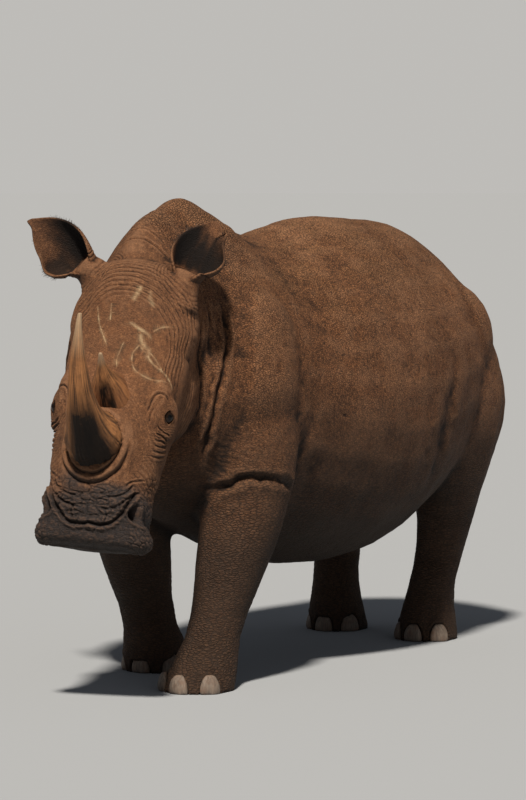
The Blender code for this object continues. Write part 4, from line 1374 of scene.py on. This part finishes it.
def hairs(name, roots, ways, sag, lengths, radius):
    """Bent spikes of three sides from their roots; sag is how far their tips fall."""
    count = len(roots)
    ways = ways / np.linalg.norm(ways, axis=1)[:, None]
    first = np.cross(ways, (0.31, 0.42, 0.85))
    first /= np.linalg.norm(first, axis=1)[:, None]
    second = np.cross(ways, first)
    rings = []
    for share, width in HAIR_RINGS:
        spot = roots + (share * lengths)[:, None] * ways
        spot = spot - (sag * lengths * max(share, 0) ** 2)[:, None] * np.array((0, 0, 1))
        for k in range(3):
            turn = 2 * math.pi * k / 3
            rings.append(spot + width * radius * (math.cos(turn) * first + math.sin(turn) * second))
    places = np.stack(rings, axis=1).reshape(-1, 3)
    pattern = [(2, 1, 0), (9, 10, 11)]
    for ring in (0, 3, 6):
        for k in range(3):
            j = (k + 1) % 3
            pattern += [(ring + k, ring + j, ring + 3 + j), (ring + k, ring + 3 + j, ring + 3 + k)]
    starts = HAIR_POINTS * np.arange(count)
    faces = (np.array(pattern)[None] + starts[:, None, None]).reshape(-1, 3)
    mesh = bpy.data.meshes.new(name)
    mesh.from_pydata(places.tolist(), [], faces.tolist())
    made = bpy.data.objects.new(name, mesh)
    bpy.context.scene.collection.objects.link(made)
    nearest = np.array([skin_tree.find_nearest(Vector(root))[2] for root in roots])
    turns = [math.tau * k / HAIR_POINTS for k in range(HAIR_POINTS)]
    patch = PATCH_RADIUS * np.array([(math.cos(turn), math.sin(turn)) for turn in turns])
    layout = flat[nearest].mean(axis=1)[:, None, None] + patch[np.array(pattern)][None]
    mesh.uv_layers.new(name="OFBake")
    mesh.uv_layers["OFBake"].data.foreach_set("uv", layout.ravel())
    mesh.materials.append(hair_finish.material)
    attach(made, "root")
    print(name, count, "hairs")


hair_finish = Finish("bristle")
mottle = hair_finish.noise(hair_finish.place(), 40.0)
colour = hair_finish.mix(mottle, (0.012, 0.009, 0.008), (0.050, 0.032, 0.022))
hair_finish.set("Base Color", colour)
hair_finish.set("Roughness", 0.55)
print("hairs can be planted")

# %% Fringe of the ears
chance = np.random.default_rng(9)
sharp = np.flatnonzero(EAR & (wide_hollow < np.quantile(wide_hollow[EAR], 0.16)))
from_root = np.where(U > 0, climb_of(points, 1), climb_of(points, -1))
sharp = sharp[(from_root[sharp] > 0.10) & (from_root[sharp] < 0.265)]
sharp = chance.choice(sharp, min(900, len(sharp)), replace=False)
rises = np.where((U[sharp] > 0)[:, None], np.array(EAR_RISES[1]), np.array(EAR_RISES[-1]))
ways = normals[sharp] + 0.7 * rises + chance.normal(0, 0.35, (len(sharp), 3))
hairs("ear_fringe", points[sharp], ways, 0.10, chance.uniform(0.006, 0.017, len(sharp)), 0.00055)

# %% Lashes and the tuft of the tail
roots, ways = [], []
for side in (1, -1):
    ahead, lengthways, across = EYE_AXES[side]
    upper = across if across.dot(OUT) > 0 else -across
    for k in range(26):
        t = -0.9 + 1.8 * k / 25
        lid = EYES[side] + 0.021 * t * lengthways + 0.0205 * ahead
        lid = lid + 0.0195 * math.sqrt(1 - t * t * 0.8) * upper
        roots.append(skin_tree.find_nearest(lid)[0])
        ways.append(0.9 * ahead + 0.8 * upper + 0.5 * t * lengthways)
ways = np.array(ways) + chance.normal(0, 0.10, (len(ways), 3))
hairs("eyelashes", np.array(roots), ways, 0.15, chance.uniform(0.010, 0.016, len(ways)), 0.00045)
near_tail = within(points, tail_low, tail_high, 0.005)
tail_end = np.flatnonzero(near_tail & (Z < tail_low[2] + 0.16))
tail_end = chance.choice(tail_end, min(520, 4 * len(tail_end)), replace=True)
starts = points[tail_end] + chance.normal(0, 0.002, (len(tail_end), 3))
lengths = chance.uniform(0.05, 0.11, len(tail_end))
lengths = np.minimum(lengths, np.maximum(starts[:, 2] - tail_low[2] + 0.03, 0.02))
ways = 0.12 * normals[tail_end] + np.array((0, -0.05, -1.0))
ways = ways + chance.normal(0, 0.08, (len(tail_end), 3))
hairs("tail_tuft", starts, ways, 0.25, lengths, 0.0009)
